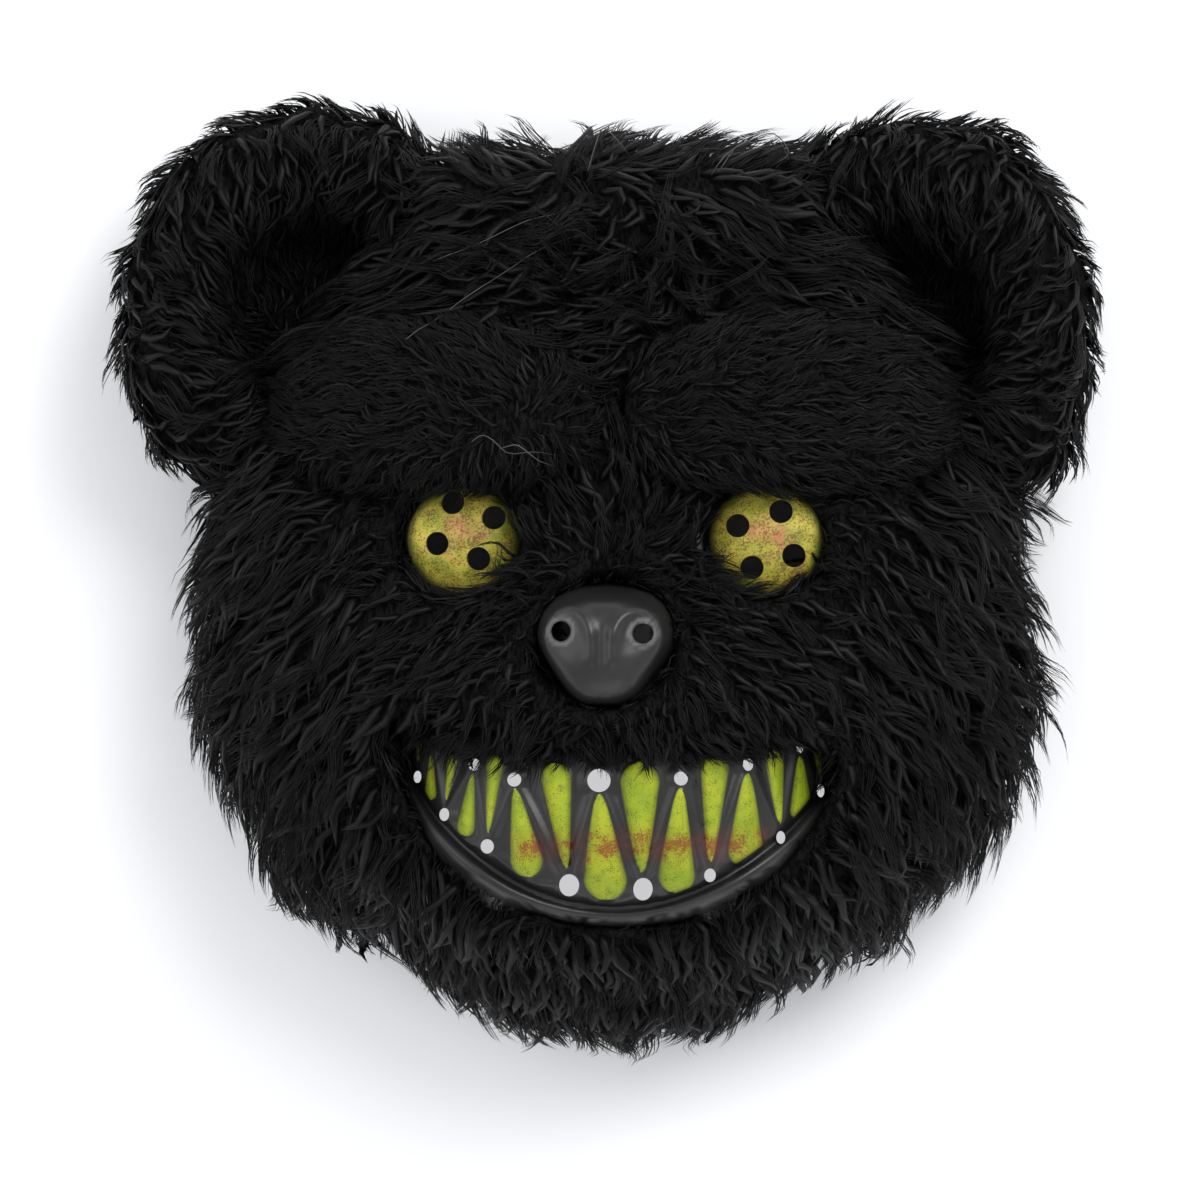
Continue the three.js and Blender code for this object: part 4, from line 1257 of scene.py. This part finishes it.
def spindles(paths, facing, widths, flatness, shares, tones):
    """Closed three-sided bodies along paths, with their bake map and numbers for the material."""
    count, rings = len(paths), len(shares) - 1
    runs = unit(np.gradient(paths, axis=1))
    aside = unit(np.cross(runs, facing[:, None]))
    out = np.cross(aside, runs)
    turn = math.pi / 2 + np.arange(SIDES) * 2 * math.pi / SIDES
    taper = (0.8 + 1.0 * shares) * (1 - shares**1.8)
    ring = aside[:, :rings, None] * np.cos(turn)[None, None, :, None]
    ring = ring + out[:, :rings, None] * flatness * np.sin(turn)[None, None, :, None]
    ring = ring * (taper[None, :rings, None, None] * widths[:, None, None, None] / TRIANGLE_WIDTH)
    points = (paths[:, :rings, None] + ring).reshape(count, -1, 3)
    points = np.concatenate([points, paths[:, -1:]], axis=1)
    quads, tips, quad_maps, tip_maps = [], [], [], []
    for row in range(rings - 1):
        low, high = row * SIDES, (row + 1) * SIDES
        here, next_up = shares[row], shares[row + 1]
        for side in range(SIDES):
            beside = (side + 1) % SIDES
            quads.append([low + side, low + beside, high + beside, high + side])
            quad_maps += [(side, here), (side + 1, here), (side + 1, next_up), (side, next_up)]
    low, tip, here = (rings - 1) * SIDES, rings * SIDES, shares[rings - 1]
    for side in range(SIDES):
        tips.append([low + side, low + (side + 1) % SIDES, tip])
        tip_maps += [(side, here), (side + 1, here), (side + 0.5, 1.0)]
    tips.append([2, 1, 0])
    tip_maps += [(0, 0.0), (SIDES, 0.0), (SIDES / 2, 0.02)]
    u0 = np.clip(tones, 0, 1) * (1 - BAKE_WIDTH)
    uv = []
    for m in (np.array(quad_maps, float), np.array(tip_maps, float)):
        u = u0[:, None] + m[None, :, 0] * BAKE_WIDTH / SIDES
        uv.append(np.stack([u, np.broadcast_to(m[None, :, 1], u.shape)], axis=-1).reshape(-1, 2))
    return {
        "points": points,
        "faces": [np.array(quads), np.array(tips)],
        "uv": np.concatenate(uv),
        "tone": np.repeat(tones, points.shape[1]),
        "along": np.tile(np.append(np.repeat(shares[:rings], SIDES), 1.0), count),
        "across": np.tile(np.append(np.tile([0.5, 0.0, 1.0], rings), 0.5), count),
    }


# %% Hair meshes
def hair_mesh(name, batches):
    """One mesh out of several batches of spindles."""
    points, faces, first = [], [], 0
    for batch in batches:
        count, per_body = batch["points"].shape[:2]
        shift = (first + np.arange(count) * per_body)[:, None, None]
        faces += [(f[None] + shift).reshape(-1, f.shape[1]) for f in batch["faces"]]
        points.append(batch["points"].reshape(-1, 3))
        first += count * per_body
    piece = mesh_object(name, np.concatenate(points), faces)
    piece.data.shade_smooth()
    for value in ("tone", "along", "across"):
        give_points(piece, value, np.concatenate([batch[value] for batch in batches]))
    layer = piece.data.uv_layers.new(name="OFBake")
    uv = np.concatenate([batch["uv"] for batch in batches])
    layer.data.foreach_set("uv", uv.astype(np.float32).reshape(-1))
    print(name, [len(b["points"]) for b in batches], "bodies,", triangles(piece), "triangles")
    return piece


# %% [markdown]
# The hair's colour is a black that is never quite even: each hair has its own tone, roots are
# darker than tips as painted shade deep in the pile, and some hairs turn a faded warm grey where
# they are lit, partly as painted sheen. The broad locks of the underlayer are ribbed lengthwise,
# so that light finds single hairs on them too: the ribs bump the surface, and they also paint lit
# streaks and shaded gaps into the colour.

# %% The hair's material
# The darkest colour is painted shade at the roots and between the ribs; the faded grey is partly
# painted sheen.
HAIR_SHADED, HAIR_COMMON = (0.0018, 0.0018, 0.0021, 1), (0.0118, 0.0115, 0.0120, 1)
HAIR_FADED_SHEEN = (0.0165, 0.0157, 0.0152, 1)
RIBS_ALONG = [("Across", 7.0), ("Along", 1.4), ("Tone", 173.0)]

HAIR_TONE, inp, out = group(
    "hair_tone",
    [
        ("Float", "Tone", 0.5), ("Float", "Along", 0.5), ("Float", "Across", 0.0),
        ("Color", "Shaded", HAIR_SHADED), ("Color", "Common", HAIR_COMMON),
        ("Color", "FadedSheen", HAIR_FADED_SHEEN),
    ],
    [("Color", "Colour"), ("Float", "Ribs")],
)
place = HAIR_TONE.nodes.new("ShaderNodeCombineXYZ")
for axis, (value, by) in enumerate(RIBS_ALONG):
    HAIR_TONE.links.new(times(HAIR_TONE, inp.outputs[value], by), place.inputs[axis])
ribs = noise_node(HAIR_TONE, place.outputs[0], 1.0, 2.0, 0.6)
# Roots are painted darker than tips: painted shade deep in the pile.
tone, clear_of_root_shade = inp.outputs["Tone"], step_node(HAIR_TONE, inp.outputs["Along"], 0.0, 0.8)
# Lit streaks along the ribs are painted sheen on single hairs, with painted shade between them.
lit = times(HAIR_TONE, clear_of_root_shade, step_node(HAIR_TONE, ribs, 0.38, 0.62))
own = plus(HAIR_TONE, 0.22, times(HAIR_TONE, tone, 1.6), clamp=True)
lit = times(HAIR_TONE, plus(HAIR_TONE, 0.1, times(HAIR_TONE, lit, 0.9)), own)
body = mix_node(HAIR_TONE, lit, inp.outputs["Shaded"], inp.outputs["Common"])
# The faded warm grey shows only where a hair is lit: partly a faded hair, partly painted sheen.
faded = step_node(HAIR_TONE, plus(HAIR_TONE, tone, times(HAIR_TONE, ribs, 0.3)), 0.5, 1.3)
colour = mix_node(HAIR_TONE, times(HAIR_TONE, faded, lit), body, inp.outputs["FadedSheen"])
HAIR_TONE.links.new(colour, out.inputs["Colour"])
HAIR_TONE.links.new(ribs, out.inputs["Ribs"])

hair, tree, shader = new_material("black_hair")
values = {value.capitalize(): attribute_node(tree, value) for value in ("tone", "along", "across")}
toned = use_group(tree, HAIR_TONE, **values)
tree.links.new(toned["Colour"], shader.inputs["Base Color"])
shader.inputs["Roughness"].default_value = 0.5
shader.inputs["Specular IOR Level"].default_value = 0.17
bump_on(tree, shader, toned["Ribs"], 0.6, 0.0004)

# %% [markdown]
# ## The coat, piece by piece
#
# The head's hair is grown as one coat and then parted into crown, cheeks, muzzle and chin, so
# that each stays a light mesh. It is short round the eyes and on the muzzle and long on the
# cheeks. Brows and ears have hair of their own.

# %% How long the head's hair is
pelt_tree = search_tree(list(pelts.values()))
ground = search_tree([face] + list(pelts.values()))


COMMON_LENGTH, CROWN_LONGER, CHEEKS_LONGER = 28, 5, 6
TOP_SHORTER, CHIN_SHORTER, CHIN_POINT_SHORTER = 9, 4, 7
LENGTH_AT_EYES, LENGTH_ON_MUZZLE, LENGTH_AT_NOSE = 11, 17, 9
UNRULY_AT = [
    (0.6, (80.0, -10.0), (45.0, 45.0)), (0.5, (0.0, 12.0), (20.0, 24.0)),
    (1.3, (4.0, 89.0), (32.0, 19.0)),
]


def head_lengths(p):
    x, y = p[:, 0], p[:, 1]
    length = COMMON_LENGTH + CROWN_LONGER * smooth(45.0, 75.0, y)
    length = length + CHEEKS_LONGER * smooth(60.0, 95.0, np.abs(x))
    length = length - TOP_SHORTER * smooth(98.0, 114.0, y) - CHIN_SHORTER * smooth(-88.0, -104.0, y)
    length = length - CHIN_POINT_SHORTER * hill(x, y, (2.0, -124.0), (18.0, 14.0))
    for middle in EYES:
        gap = np.hypot(x - middle[0], y - middle[1])
        length = np.minimum(length, LENGTH_AT_EYES + 16 * smooth(20.0, 50.0, gap))
    on_muzzle = smooth(74.0, 50.0, np.abs(x)) * smooth(16.0, 0.0, y) * smooth(-70.0, -56.0, y)
    length = length - on_muzzle * (length - LENGTH_ON_MUZZLE)
    return np.minimum(length, LENGTH_AT_NOSE + 18 * smooth(15.0, 46.0, np.hypot(x, y - NOSE_Y)))


def head_mess(p):
    """How unruly the hair is: most of all in the tangle of the crown."""
    mess = 0.65
    for amount, middle, spread in UNRULY_AT:
        mess = mess + amount * hill(p[:, 0], p[:, 1], middle, spread)
    return mess


# %% [markdown]
# Hair must not hide the grin. A leading hair that reaches it is cut off soon after, and a few
# hang down further, as they do in the photograph. Eyes, nose and grin get no roots either.

# %% Trimmed round the grin
EDGE_BELOW_LIP, FRINGE_END = -4.2, -51.5
GRIN_MIDDLE_X, GRIN_REACH = 6, 67
HANG_LEAST, HANG_LEFT, HANG_RIGHT = 0.8, 4.4, 3.0


def grin_shows(p):
    """Where teeth and lip must stay bare."""
    above, some = from_lip(p[..., 0], p[..., 1])
    fringe_end = FRINGE_END + 6 * smooth(42.0, 60.0, np.abs(p[..., 0]))
    inside = (some > 0.02) & (np.abs(p[..., 0] - GRIN_MIDDLE_X) < GRIN_REACH)
    return (above > EDGE_BELOW_LIP) & inside & (p[..., 1] < fringe_end)


def plastic_shows(p):
    """Where the face must stay bare: eyes, nose and grin."""
    nose = nose_height(p[..., 0], p[..., 1]) > shell_height(p[..., 0], p[..., 1]) + 4
    bare = grin_shows(p) | nose
    for eye in EYES:
        edge = 15.4 + 2.2 * smooth(-4.0, 8.0, p[..., 1] - eye[1])
        bare = bare | (np.hypot(p[..., 0] - eye[0], p[..., 1] - eye[1]) < edge)
    return bare


def trimmed(paths, lengths):
    """Leading hairs cut off soon after they reach the grin. A few hang down further."""
    over = grin_shows(paths)
    first = np.where(over.any(axis=1), np.argmax(over, axis=1), STEPS)
    hang = HANG_LEAST + draw.exponential(np.where(paths[:, 0, 0] < -12, HANG_LEFT, HANG_RIGHT))
    last = np.minimum(first + hang / (lengths / STEPS), STEPS) / STEPS
    last = np.where(over.any(axis=1), last, 1.0)
    shares = np.linspace(0, 1, STEPS + 1)[None] * last[:, None]
    return at_shares(paths, shares)


# %% [markdown]
# Slow waves over the coat bend and curl neighbours alike, and a random share makes each its
# own. Over the whole coat the nearest of a thinned set of locks draws its neighbours in, so
# that the locks gather into tufts; locks near a tuft's middle are toned lighter and those at its
# edge darker, as painted light and shade. One lock in five lies loose on top.

# %% The two layers
WAVES_BEND, WAVES_CURL, OWN_BEND = 20, 34, 9
UNDER_CURL, OVER_CURL = 8, 11
ON_TOP_SHARE, ON_TOP_LIFT, ON_TOP_LONGER = 0.2, 3.5, 0.3
TUFT_PULL = 0.55


def bends_of(roots, mess, seed, curl_draw):
    """How far each hair turns off the pile at once, and how far it curls along its way."""
    count = len(roots)
    own = draw.normal(0, OWN_BEND, count) * mess**1.5
    bend = np.radians(WAVES_BEND * slow_waves(roots, seed) + own)
    return bend, np.radians(WAVES_CURL * slow_waves(roots, seed + 3, 24.0) + curl_draw(count))


def under_layer(roots, facing, flow, lengths, mess, width, seed, shade=0.2, rings=FINE_RINGS):
    """Broad flat locks that lie close to the backing, toned darker as painted shade under the fine
    hairs.
    """
    count = len(roots)
    bend, curl = bends_of(roots, mess, seed, lambda n: draw.normal(0, UNDER_CURL, n))
    lengths = lengths * draw.uniform(0.65, 0.95, count)
    paths = lead(roots, facing, flow, lengths, bend, curl, draw.uniform(0.5, 0.9, count), 1.4)
    paths = trimmed(paths, lengths)
    paths = at_shares(paths, np.broadcast_to(rings, (count, len(rings))))
    tones = shade + 0.12 * slow_waves(roots, seed + 7, 40.0) + draw.normal(0, 0.1, count)
    tones = np.clip(tones, 0, 1)
    widths = width * draw.uniform(0.7, 1.2, count) * np.clip(lengths / 16, 0.45, 1)
    return spindles(paths, facing, widths, 0.2, rings, tones), roots


def tufts_of(roots, gap):
    """For each root the nearest of a thinned set of roots, and how far off it is."""
    chosen = []
    for i, root in enumerate(roots):
        if not chosen or np.min(np.linalg.norm(roots[chosen] - root, axis=1)) > gap:
            chosen.append(i)
    away = np.linalg.norm(roots[:, None] - roots[chosen][None], axis=2)
    nearest = np.argmin(away, axis=1)
    return np.array(chosen)[nearest], away[np.arange(len(roots)), nearest]


def over_layer(
    roots, facing, flow, lengths, mess, each, spread, width, seed, shade=0.42, tuft_gap=9.0,
    rings=FINE_RINGS,
):
    """Fine hairs gathered into locks, and the locks into tufts. Some locks lie on top of all."""
    count = len(roots)
    bend, curl = bends_of(roots, mess, seed, lambda n: draw.normal(0, OVER_CURL, n) * mess)
    on_top = (draw.random(count) < ON_TOP_SHARE) * np.clip(lengths / 28, 0.2, 1)
    on_top = on_top * smooth(0.35, 0.75, facing[:, 2])
    lengths = lengths * draw.uniform(0.8, 1.2, count) * (1 + ON_TOP_LONGER * on_top)
    leader, away = tufts_of(roots, tuft_gap)
    tucked = np.clip(away / (0.75 * tuft_gap), 0, 1)
    lift_by = np.clip(draw.normal(1.0, 0.15, count), 0.5, 1.8) * mess**0.5 * (1.35 - 0.8 * tucked)
    paths = lead(roots, facing, flow, lengths, bend, curl, lift_by, 3.0 + ON_TOP_LIFT * on_top)
    share = np.linspace(0, 1, STEPS + 1)[None, :, None]
    paths = trimmed(paths + TUFT_PULL * share**1.2 * (paths[leader] - paths), lengths)
    # Painted light and shade: lighter near a tuft's middle, darker in the valleys between tufts.
    tones = shade + 0.2 * (0.45 - tucked) + 0.14 * slow_waves(roots, seed + 7, 40.0)
    tones = tones + draw.normal(0, 0.12, count)
    hairs, out, lock = hairs_round(paths, facing, each, spread, 0.12, rings)
    tones = np.clip(tones[lock] + draw.normal(0, 0.09, len(lock)), 0, 1)
    widths = width * draw.uniform(0.75, 1.2, len(lock))
    return spindles(hairs, out, widths, 0.6, rings, tones), roots[lock]


roots, facing = strew(pelts["head_fur"], 3.7, pelt_tree)
grown = (roots, facing, head_flow, head_lengths(roots), head_mess(roots))
layers = [under_layer(*grown, width=2.8, seed=3)]
roots, facing = strew(pelts["head_fur"], 5.1, pelt_tree)
grown = (roots, facing, head_flow, head_lengths(roots), head_mess(roots))
layers.append(over_layer(*grown, each=9, spread=3.0, width=0.42, seed=3, tuft_gap=11.0))

# %% [markdown]
# More plantings finish the head. The cover's edge is glued down round the lip, the eyes and
# the nose, so hair starts right at the plastic there, and short unruly hair hides the edge of
# the backing below the lip and round the nose. A fringe hangs from the hem over the teeth. The
# hollow of the crown is a tangle of long curls that lie across each other. A few loose curls
# hang between the eyes and the nose, and three single strands stick out by themselves.

# %% Edges and fringe
def plant(title, strewn, wanted, lengths, mess, flow=head_flow, **hairs):
    """Grows fine hairs on those of the strewn roots that are wanted."""
    roots, facing = strewn
    here = wanted(roots)
    roots, facing = roots[here], facing[here]
    print(title + ":", len(roots), "roots")
    mess = np.full(len(roots), mess)
    layers.append(over_layer(roots, facing, flow, lengths(roots), mess, **hairs))


def between(least, most):
    """Lengths drawn at random between two values."""
    return lambda p: draw.uniform(least, most, len(p))


def at_glued_edge(p):
    return ~plastic_shows(p) & (p[:, 2] > 30) & (p[:, 1] < 30)


def at_short_edge(p):
    above = from_lip(p[:, 0], p[:, 1])[0]
    below_lip = (above > -17) & (above < -3) & (p[:, 1] < -50) & (np.abs(p[:, 0]) < 82)
    return below_lip | (np.hypot(p[:, 0], p[:, 1] - NOSE_Y) < 29)


def at_hem(p):
    return (p[:, 1] > -49) & (p[:, 1] < -37) & (np.abs(p[:, 0]) < 60) & ~plastic_shows(p)


def fringe_flow(p, n):
    aside = 0.006 * p[:, 0] + 0.25 * slow_waves(p, 23, 20.0)
    return np.stack([aside, np.full(len(p), -1.0), np.full(len(p), -0.2)], axis=-1)


plant(
    "glued edge", strew(face, 2.1, pelt_tree, 60.0, True), at_glued_edge,
    lambda p: np.minimum(head_lengths(p), 15), 1.0, each=4, spread=1.6, width=0.44, seed=9,
)
plant(
    "short edge", strew(pelts["head_fur"], 3.6, pelt_tree), at_short_edge, between(7, 11), 3.0,
    each=5, spread=1.7, width=0.38, seed=13, shade=0.2, tuft_gap=6.0, rings=BROAD_RINGS,
)
plant(
    "fringe", strew(face, 1.9, face_tree, 4.0), at_hem, between(14, 26), 1.5, fringe_flow,
    each=5, spread=1.5, width=0.38, seed=11,
)

# %% Tangle, loose curls and strands
TANGLE_AT, TANGLE_SPREAD, TANGLE_TOP = (2.0, 92.0), (34.0, 20.0), 101
CURLS_AT = [
    (-24.0, 4.0), (-20.0, -4.0), (-30.0, -8.0), (22.0, 6.0),
    (28.0, -4.0), (24.0, -12.0), (62.0, 2.0), (70.0, -16.0),
]
STRANDS = [
    ((24.0, 0.0), 6.0, (1.0, 0.16, 0.0), (14, 22)),
    ((-21.0, 3.0), 4.5, (-1.0, -0.15, 0.0), (13, 20)),
    ((-9.0, 117.0), 6.0, (0.1, 1.0, 0.1), (14, 20)),
]


def in_tangle(p):
    near = hill(p[:, 0], p[:, 1], TANGLE_AT, TANGLE_SPREAD) > draw.uniform(0.1, 0.8, len(p))
    return near & (p[:, 1] < TANGLE_TOP)


def near_to(places, radius):
    """Picks the roots within a radius of any of the places."""

    def here(p):
        gaps = [np.hypot(p[:, 0] - c[0], p[:, 1] - c[1]) for c in places]
        return np.min(gaps, axis=0) < radius

    return here


def toward(direction):
    return lambda p, n: np.tile(np.array(direction, float), (len(p), 1))


plant(
    "tangle", strew(pelts["head_fur"], 4.4, pelt_tree), in_tangle, between(20, 34), 4.0,
    each=8, spread=2.2, width=0.42, seed=15, shade=0.5,
)
plant(
    "loose curls", strew(pelts["head_fur"], 3.0, pelt_tree), near_to(CURLS_AT, 3.2),
    between(16, 24), 3.2, each=7, spread=0.9, width=0.4, seed=17, shade=0.62,
)
for root_at, around, direction, span in STRANDS:
    plant(
        "strand", strew(pelts["head_fur"], 2.2, pelt_tree), near_to([root_at], around),
        between(*span), 1.8, toward(direction), each=5, spread=1.4, width=0.36, seed=19, shade=0.5,
    )


# %% [markdown]
# One mesh for all this hair would be too heavy to handle, so each body goes to the mesh of the
# region that its root stands in.

# %% Parting the head's coat into meshes
def part_of(layer, here):
    """The bodies of a layer whose roots are picked out by here."""
    batch = layer[0]
    count, per_body = batch["points"].shape[:2]
    chosen = dict(batch, points=batch["points"][here])
    for value in ("tone", "along", "across"):
        chosen[value] = batch[value].reshape(count, per_body)[here].reshape(-1)
    quads, tips = (len(f) * f.shape[1] for f in batch["faces"])
    first = batch["uv"][: count * quads].reshape(count, quads, 2)[here].reshape(-1, 2)
    second = batch["uv"][count * quads:].reshape(count, tips, 2)[here].reshape(-1, 2)
    chosen["uv"] = np.concatenate([first, second])
    return chosen


def region_of(p):
    """Which mesh of the head's coat a root belongs to."""
    middle = np.abs(p[:, 0]) < 66
    side = np.where(p[:, 0] < 0, 3, 4)
    return np.where(p[:, 1] > 40, 0, np.where(middle, np.where(p[:, 1] > -72, 1, 2), side))


REGIONS = ["crown_fur", "muzzle_fur", "chin_fur", "cheek_fur_left", "cheek_fur_right"]
for number, name in enumerate(REGIONS):
    batches = [part_of(layer, region_of(layer[1]) == number) for layer in layers]
    dress(hair_mesh(name, batches), hair, "head_fur")

# %% [markdown]
# Brows have a short dense pile, unruly only near the whorl. On the ears it is long over the
# rim and short down in the dish, where it is toned darker as painted shade in the hollow. Broad
# locks come first on both, fine hairs second.

# %% Brows and ears
DISH_EDGE, DISH_FLOOR = 36.0, 24.0
BROW_UNRULY = {-1: (-29.0, 43.0), 1: (-7.0, 48.0)}
BROW_LENGTH, BROW_GAPS = 12.0, (2.3, 2.6)
EAR_GAPS, EAR_LOWEST, EAR_MESS = (3.4, 5.05), (-0.93, -0.6), 0.75
EAR_LENGTH, DISH_SHORTER, FLANK_SHORTER = 20, 8, 4
EAR_SHADE, DISH_SHADE = 0.42, 0.5


def in_dish(node, p):
    away = np.linalg.norm(p[:, :2] - EAR_MIDDLES[node], axis=1)
    return smooth(DISH_EDGE, DISH_FLOOR, away)


def brow_coat(node, side, seed):
    flow, coats = brow_flow(side), []
    for gap in BROW_GAPS:
        roots, facing = strew(pelts[node], gap, pelt_tree)
        mess = 0.45 + 2.0 * hill(roots[:, 0], roots[:, 1], BROW_UNRULY[side], (8.0, 8.0))
        grown = (roots, facing, flow, np.full(len(roots), BROW_LENGTH), mess)
        if gap == BROW_GAPS[0]:
            coats.append(under_layer(*grown, 1.8, seed, 0.3, BROAD_RINGS)[0])
        else:
            coats.append(over_layer(*grown, 7, 1.8, 0.34, seed, 0.56, 6.0, BROAD_RINGS)[0])
    return coats


def ear_coat(node, seed):
    flow, coats = ear_flow(node), []
    for gap, lowest in zip(EAR_GAPS, EAR_LOWEST):
        roots, facing = strew(pelts[node], gap, pelt_tree, lowest=lowest)
        dish = in_dish(node, roots)
        flank = smooth(0.6, 0.1, facing[:, 2]) * (1 - dish)
        lengths = EAR_LENGTH - DISH_SHORTER * dish - FLANK_SHORTER * flank
        # Painted shade: the hair down in the ear's dish is toned darker.
        shade = EAR_SHADE - DISH_SHADE * dish
        mess = np.full(len(roots), EAR_MESS)
        if gap == EAR_GAPS[0]:
            grown = (roots, facing, flow, lengths, mess)
            coats.append(under_layer(*grown, 2.5, seed, shade - 0.2)[0])
        else:
            grown = (roots, facing, flow, lengths, mess * (1 - 0.5 * flank))
            coats.append(over_layer(*grown, 9, 3.0, 0.43, seed, shade)[0])
    return coats


COATS = {
    "brow_fur_left": ("brow_left", brow_coat("brow_left", -1, 20)),
    "brow_fur_right": ("brow_right", brow_coat("brow_right", 1, 22)),
    "ear_fur_left": ("ear_left", ear_coat("ear_left", 31)),
    "ear_fur_right": ("ear_right", ear_coat("ear_right", 32)),
}
for name, (node, batches) in COATS.items():
    dress(hair_mesh(name, batches), hair, node)

# %% [markdown]
# A few faded single hairs have worked loose: one long one lies across the crown, one curls
# below the left brow, and two loops stand up from the top. Each is led through a few places
# in the plan and lies on the coat below it.

# %% Where the stray hairs lie
STRAY_COLOUR, STRAY_WARM = (0.085, 0.08, 0.076, 1), (0.035, 0.033, 0.031, 1)
STRAY_WIDTH, STRAY_OVER = 0.36, 8.0
STRAY_ROUNDS, FROM_ABOVE = 12, 200.0
STRAY_SHARES = np.linspace(0, 1, 15)
LYING = [
    [(-58.0, 68.0), (-46.0, 78.0), (-29.0, 89.0), (-19.0, 96.0), (-3.0, 101.0)],
    [(-52.0, 92.0), (-40.0, 96.0), (-24.0, 104.0), (-12.0, 106.0)],
    [(-38.0, 38.0), (-35.0, 40.5), (-31.0, 38.0), (-28.0, 34.0), (-20.0, 35.5), (-13.0, 34.0)],
    [(-30.0, 36.0), (-25.0, 37.5), (-19.0, 32.5), (-14.0, 31.0)],
]
STANDING = [
    [(-7.0, 118.0), (-5.0, 125.0), (-2.8, 131.6), (1.0, 128.0), (5.7, 122.0)],
    [
        (29.0, 117.0), (33.0, 124.0), (43.0, 128.2), (47.0, 130.0),
        (51.0, 125.5), (52.3, 122.5), (45.0, 119.0),
    ],
    [(31.0, 118.0), (37.0, 127.0), (44.0, 126.0), (49.0, 128.0), (52.0, 120.0)],
]


# %% Stray hairs
def stray_path(corners, standing):
    """An even path through the corners, laid on the coat or standing at its base's height."""
    corners = np.array(corners)
    at, stops = np.linspace(0, len(corners) - 1, 40), np.arange(len(corners))
    plan = np.stack([np.interp(at, stops, corners[:, k]) for k in (0, 1)], axis=-1)
    for _ in range(STRAY_ROUNDS):
        plan[1:-1] = (plan[:-2] + plan[1:-1] * 2 + plan[2:]) / 4
    heights = []
    for x, y in plan:
        hit = ground.ray_cast(Vector((x, y, FROM_ABOVE)), Vector((0, 0, -1)))[0]
        heights.append(hit.z + STRAY_OVER if hit is not None else np.nan)
    heights = np.array(heights)
    if standing:
        heights = np.full(len(plan), heights[0])
    path = np.concatenate([plan, heights[:, None]], axis=1)
    return at_shares(path[None], STRAY_SHARES[None])[0]


stray_hair, tree, shader = new_material("stray_hair")
stray_at = tree.nodes.new("ShaderNodeTexCoord").outputs["Object"]
stray_tone = wandering(tree, stray_at, 120.0, STRAY_WARM, STRAY_COLOUR)
tree.links.new(stray_tone, shader.inputs["Base Color"])
shader.inputs["Roughness"].default_value = 0.5

paths = np.array([stray_path(c, False) for c in LYING] + [stray_path(c, True) for c in STANDING])
count = len(paths)
up, tones = np.tile([0.0, 0.0, 1.0], (count, 1)), np.linspace(0, 1, count)
strays = spindles(paths, up, np.full(count, STRAY_WIDTH), 0.9, STRAY_SHARES, tones)
dress(hair_mesh("stray_hairs", [strays]), stray_hair, "head_fur")

# %% [markdown]
# ## Behind the mouth
#
# In the photograph the small holes of the grin show a flat pale grey, lit from behind. A small
# card behind them glows with that grey, seen only by the camera: painted light, not a lamp. It
# belongs to the set, not to the mask.

# %% Glowing card
CARD_CORNERS = [(-78, -34), (-78, -62), (-48, -101), (48, -101), (78, -62), (78, -34)]
CARD_HEIGHT = 30.0
card_points = np.array([(x, y, CARD_HEIGHT) for x, y in CARD_CORNERS])
card = mesh_object("pale_card", card_points, [np.array([[0, 1, 2, 3, 4, 5]])])
card_material, tree, card_shader = new_material("pale_card")
card_shader.inputs["Base Color"].default_value = (0, 0, 0, 1)
# The card's pale glow is painted light, and only camera rays see it.
card_shader.inputs["Emission Color"].default_value = (0.6, 0.6, 0.62, 1)
seen = tree.nodes.new("ShaderNodeLightPath").outputs["Is Camera Ray"]
tree.links.new(seen, card_shader.inputs["Emission Strength"])
card.data.materials.append(card_material)

# %% [markdown]
# ## Triangles, and done
#
# The number of triangles in all the new meshes is printed.

# %% Finish
made = [o for o in bpy.data.objects if o.type == "MESH" and o.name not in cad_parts]
print("triangles in all:", sum(triangles(o) for o in made))
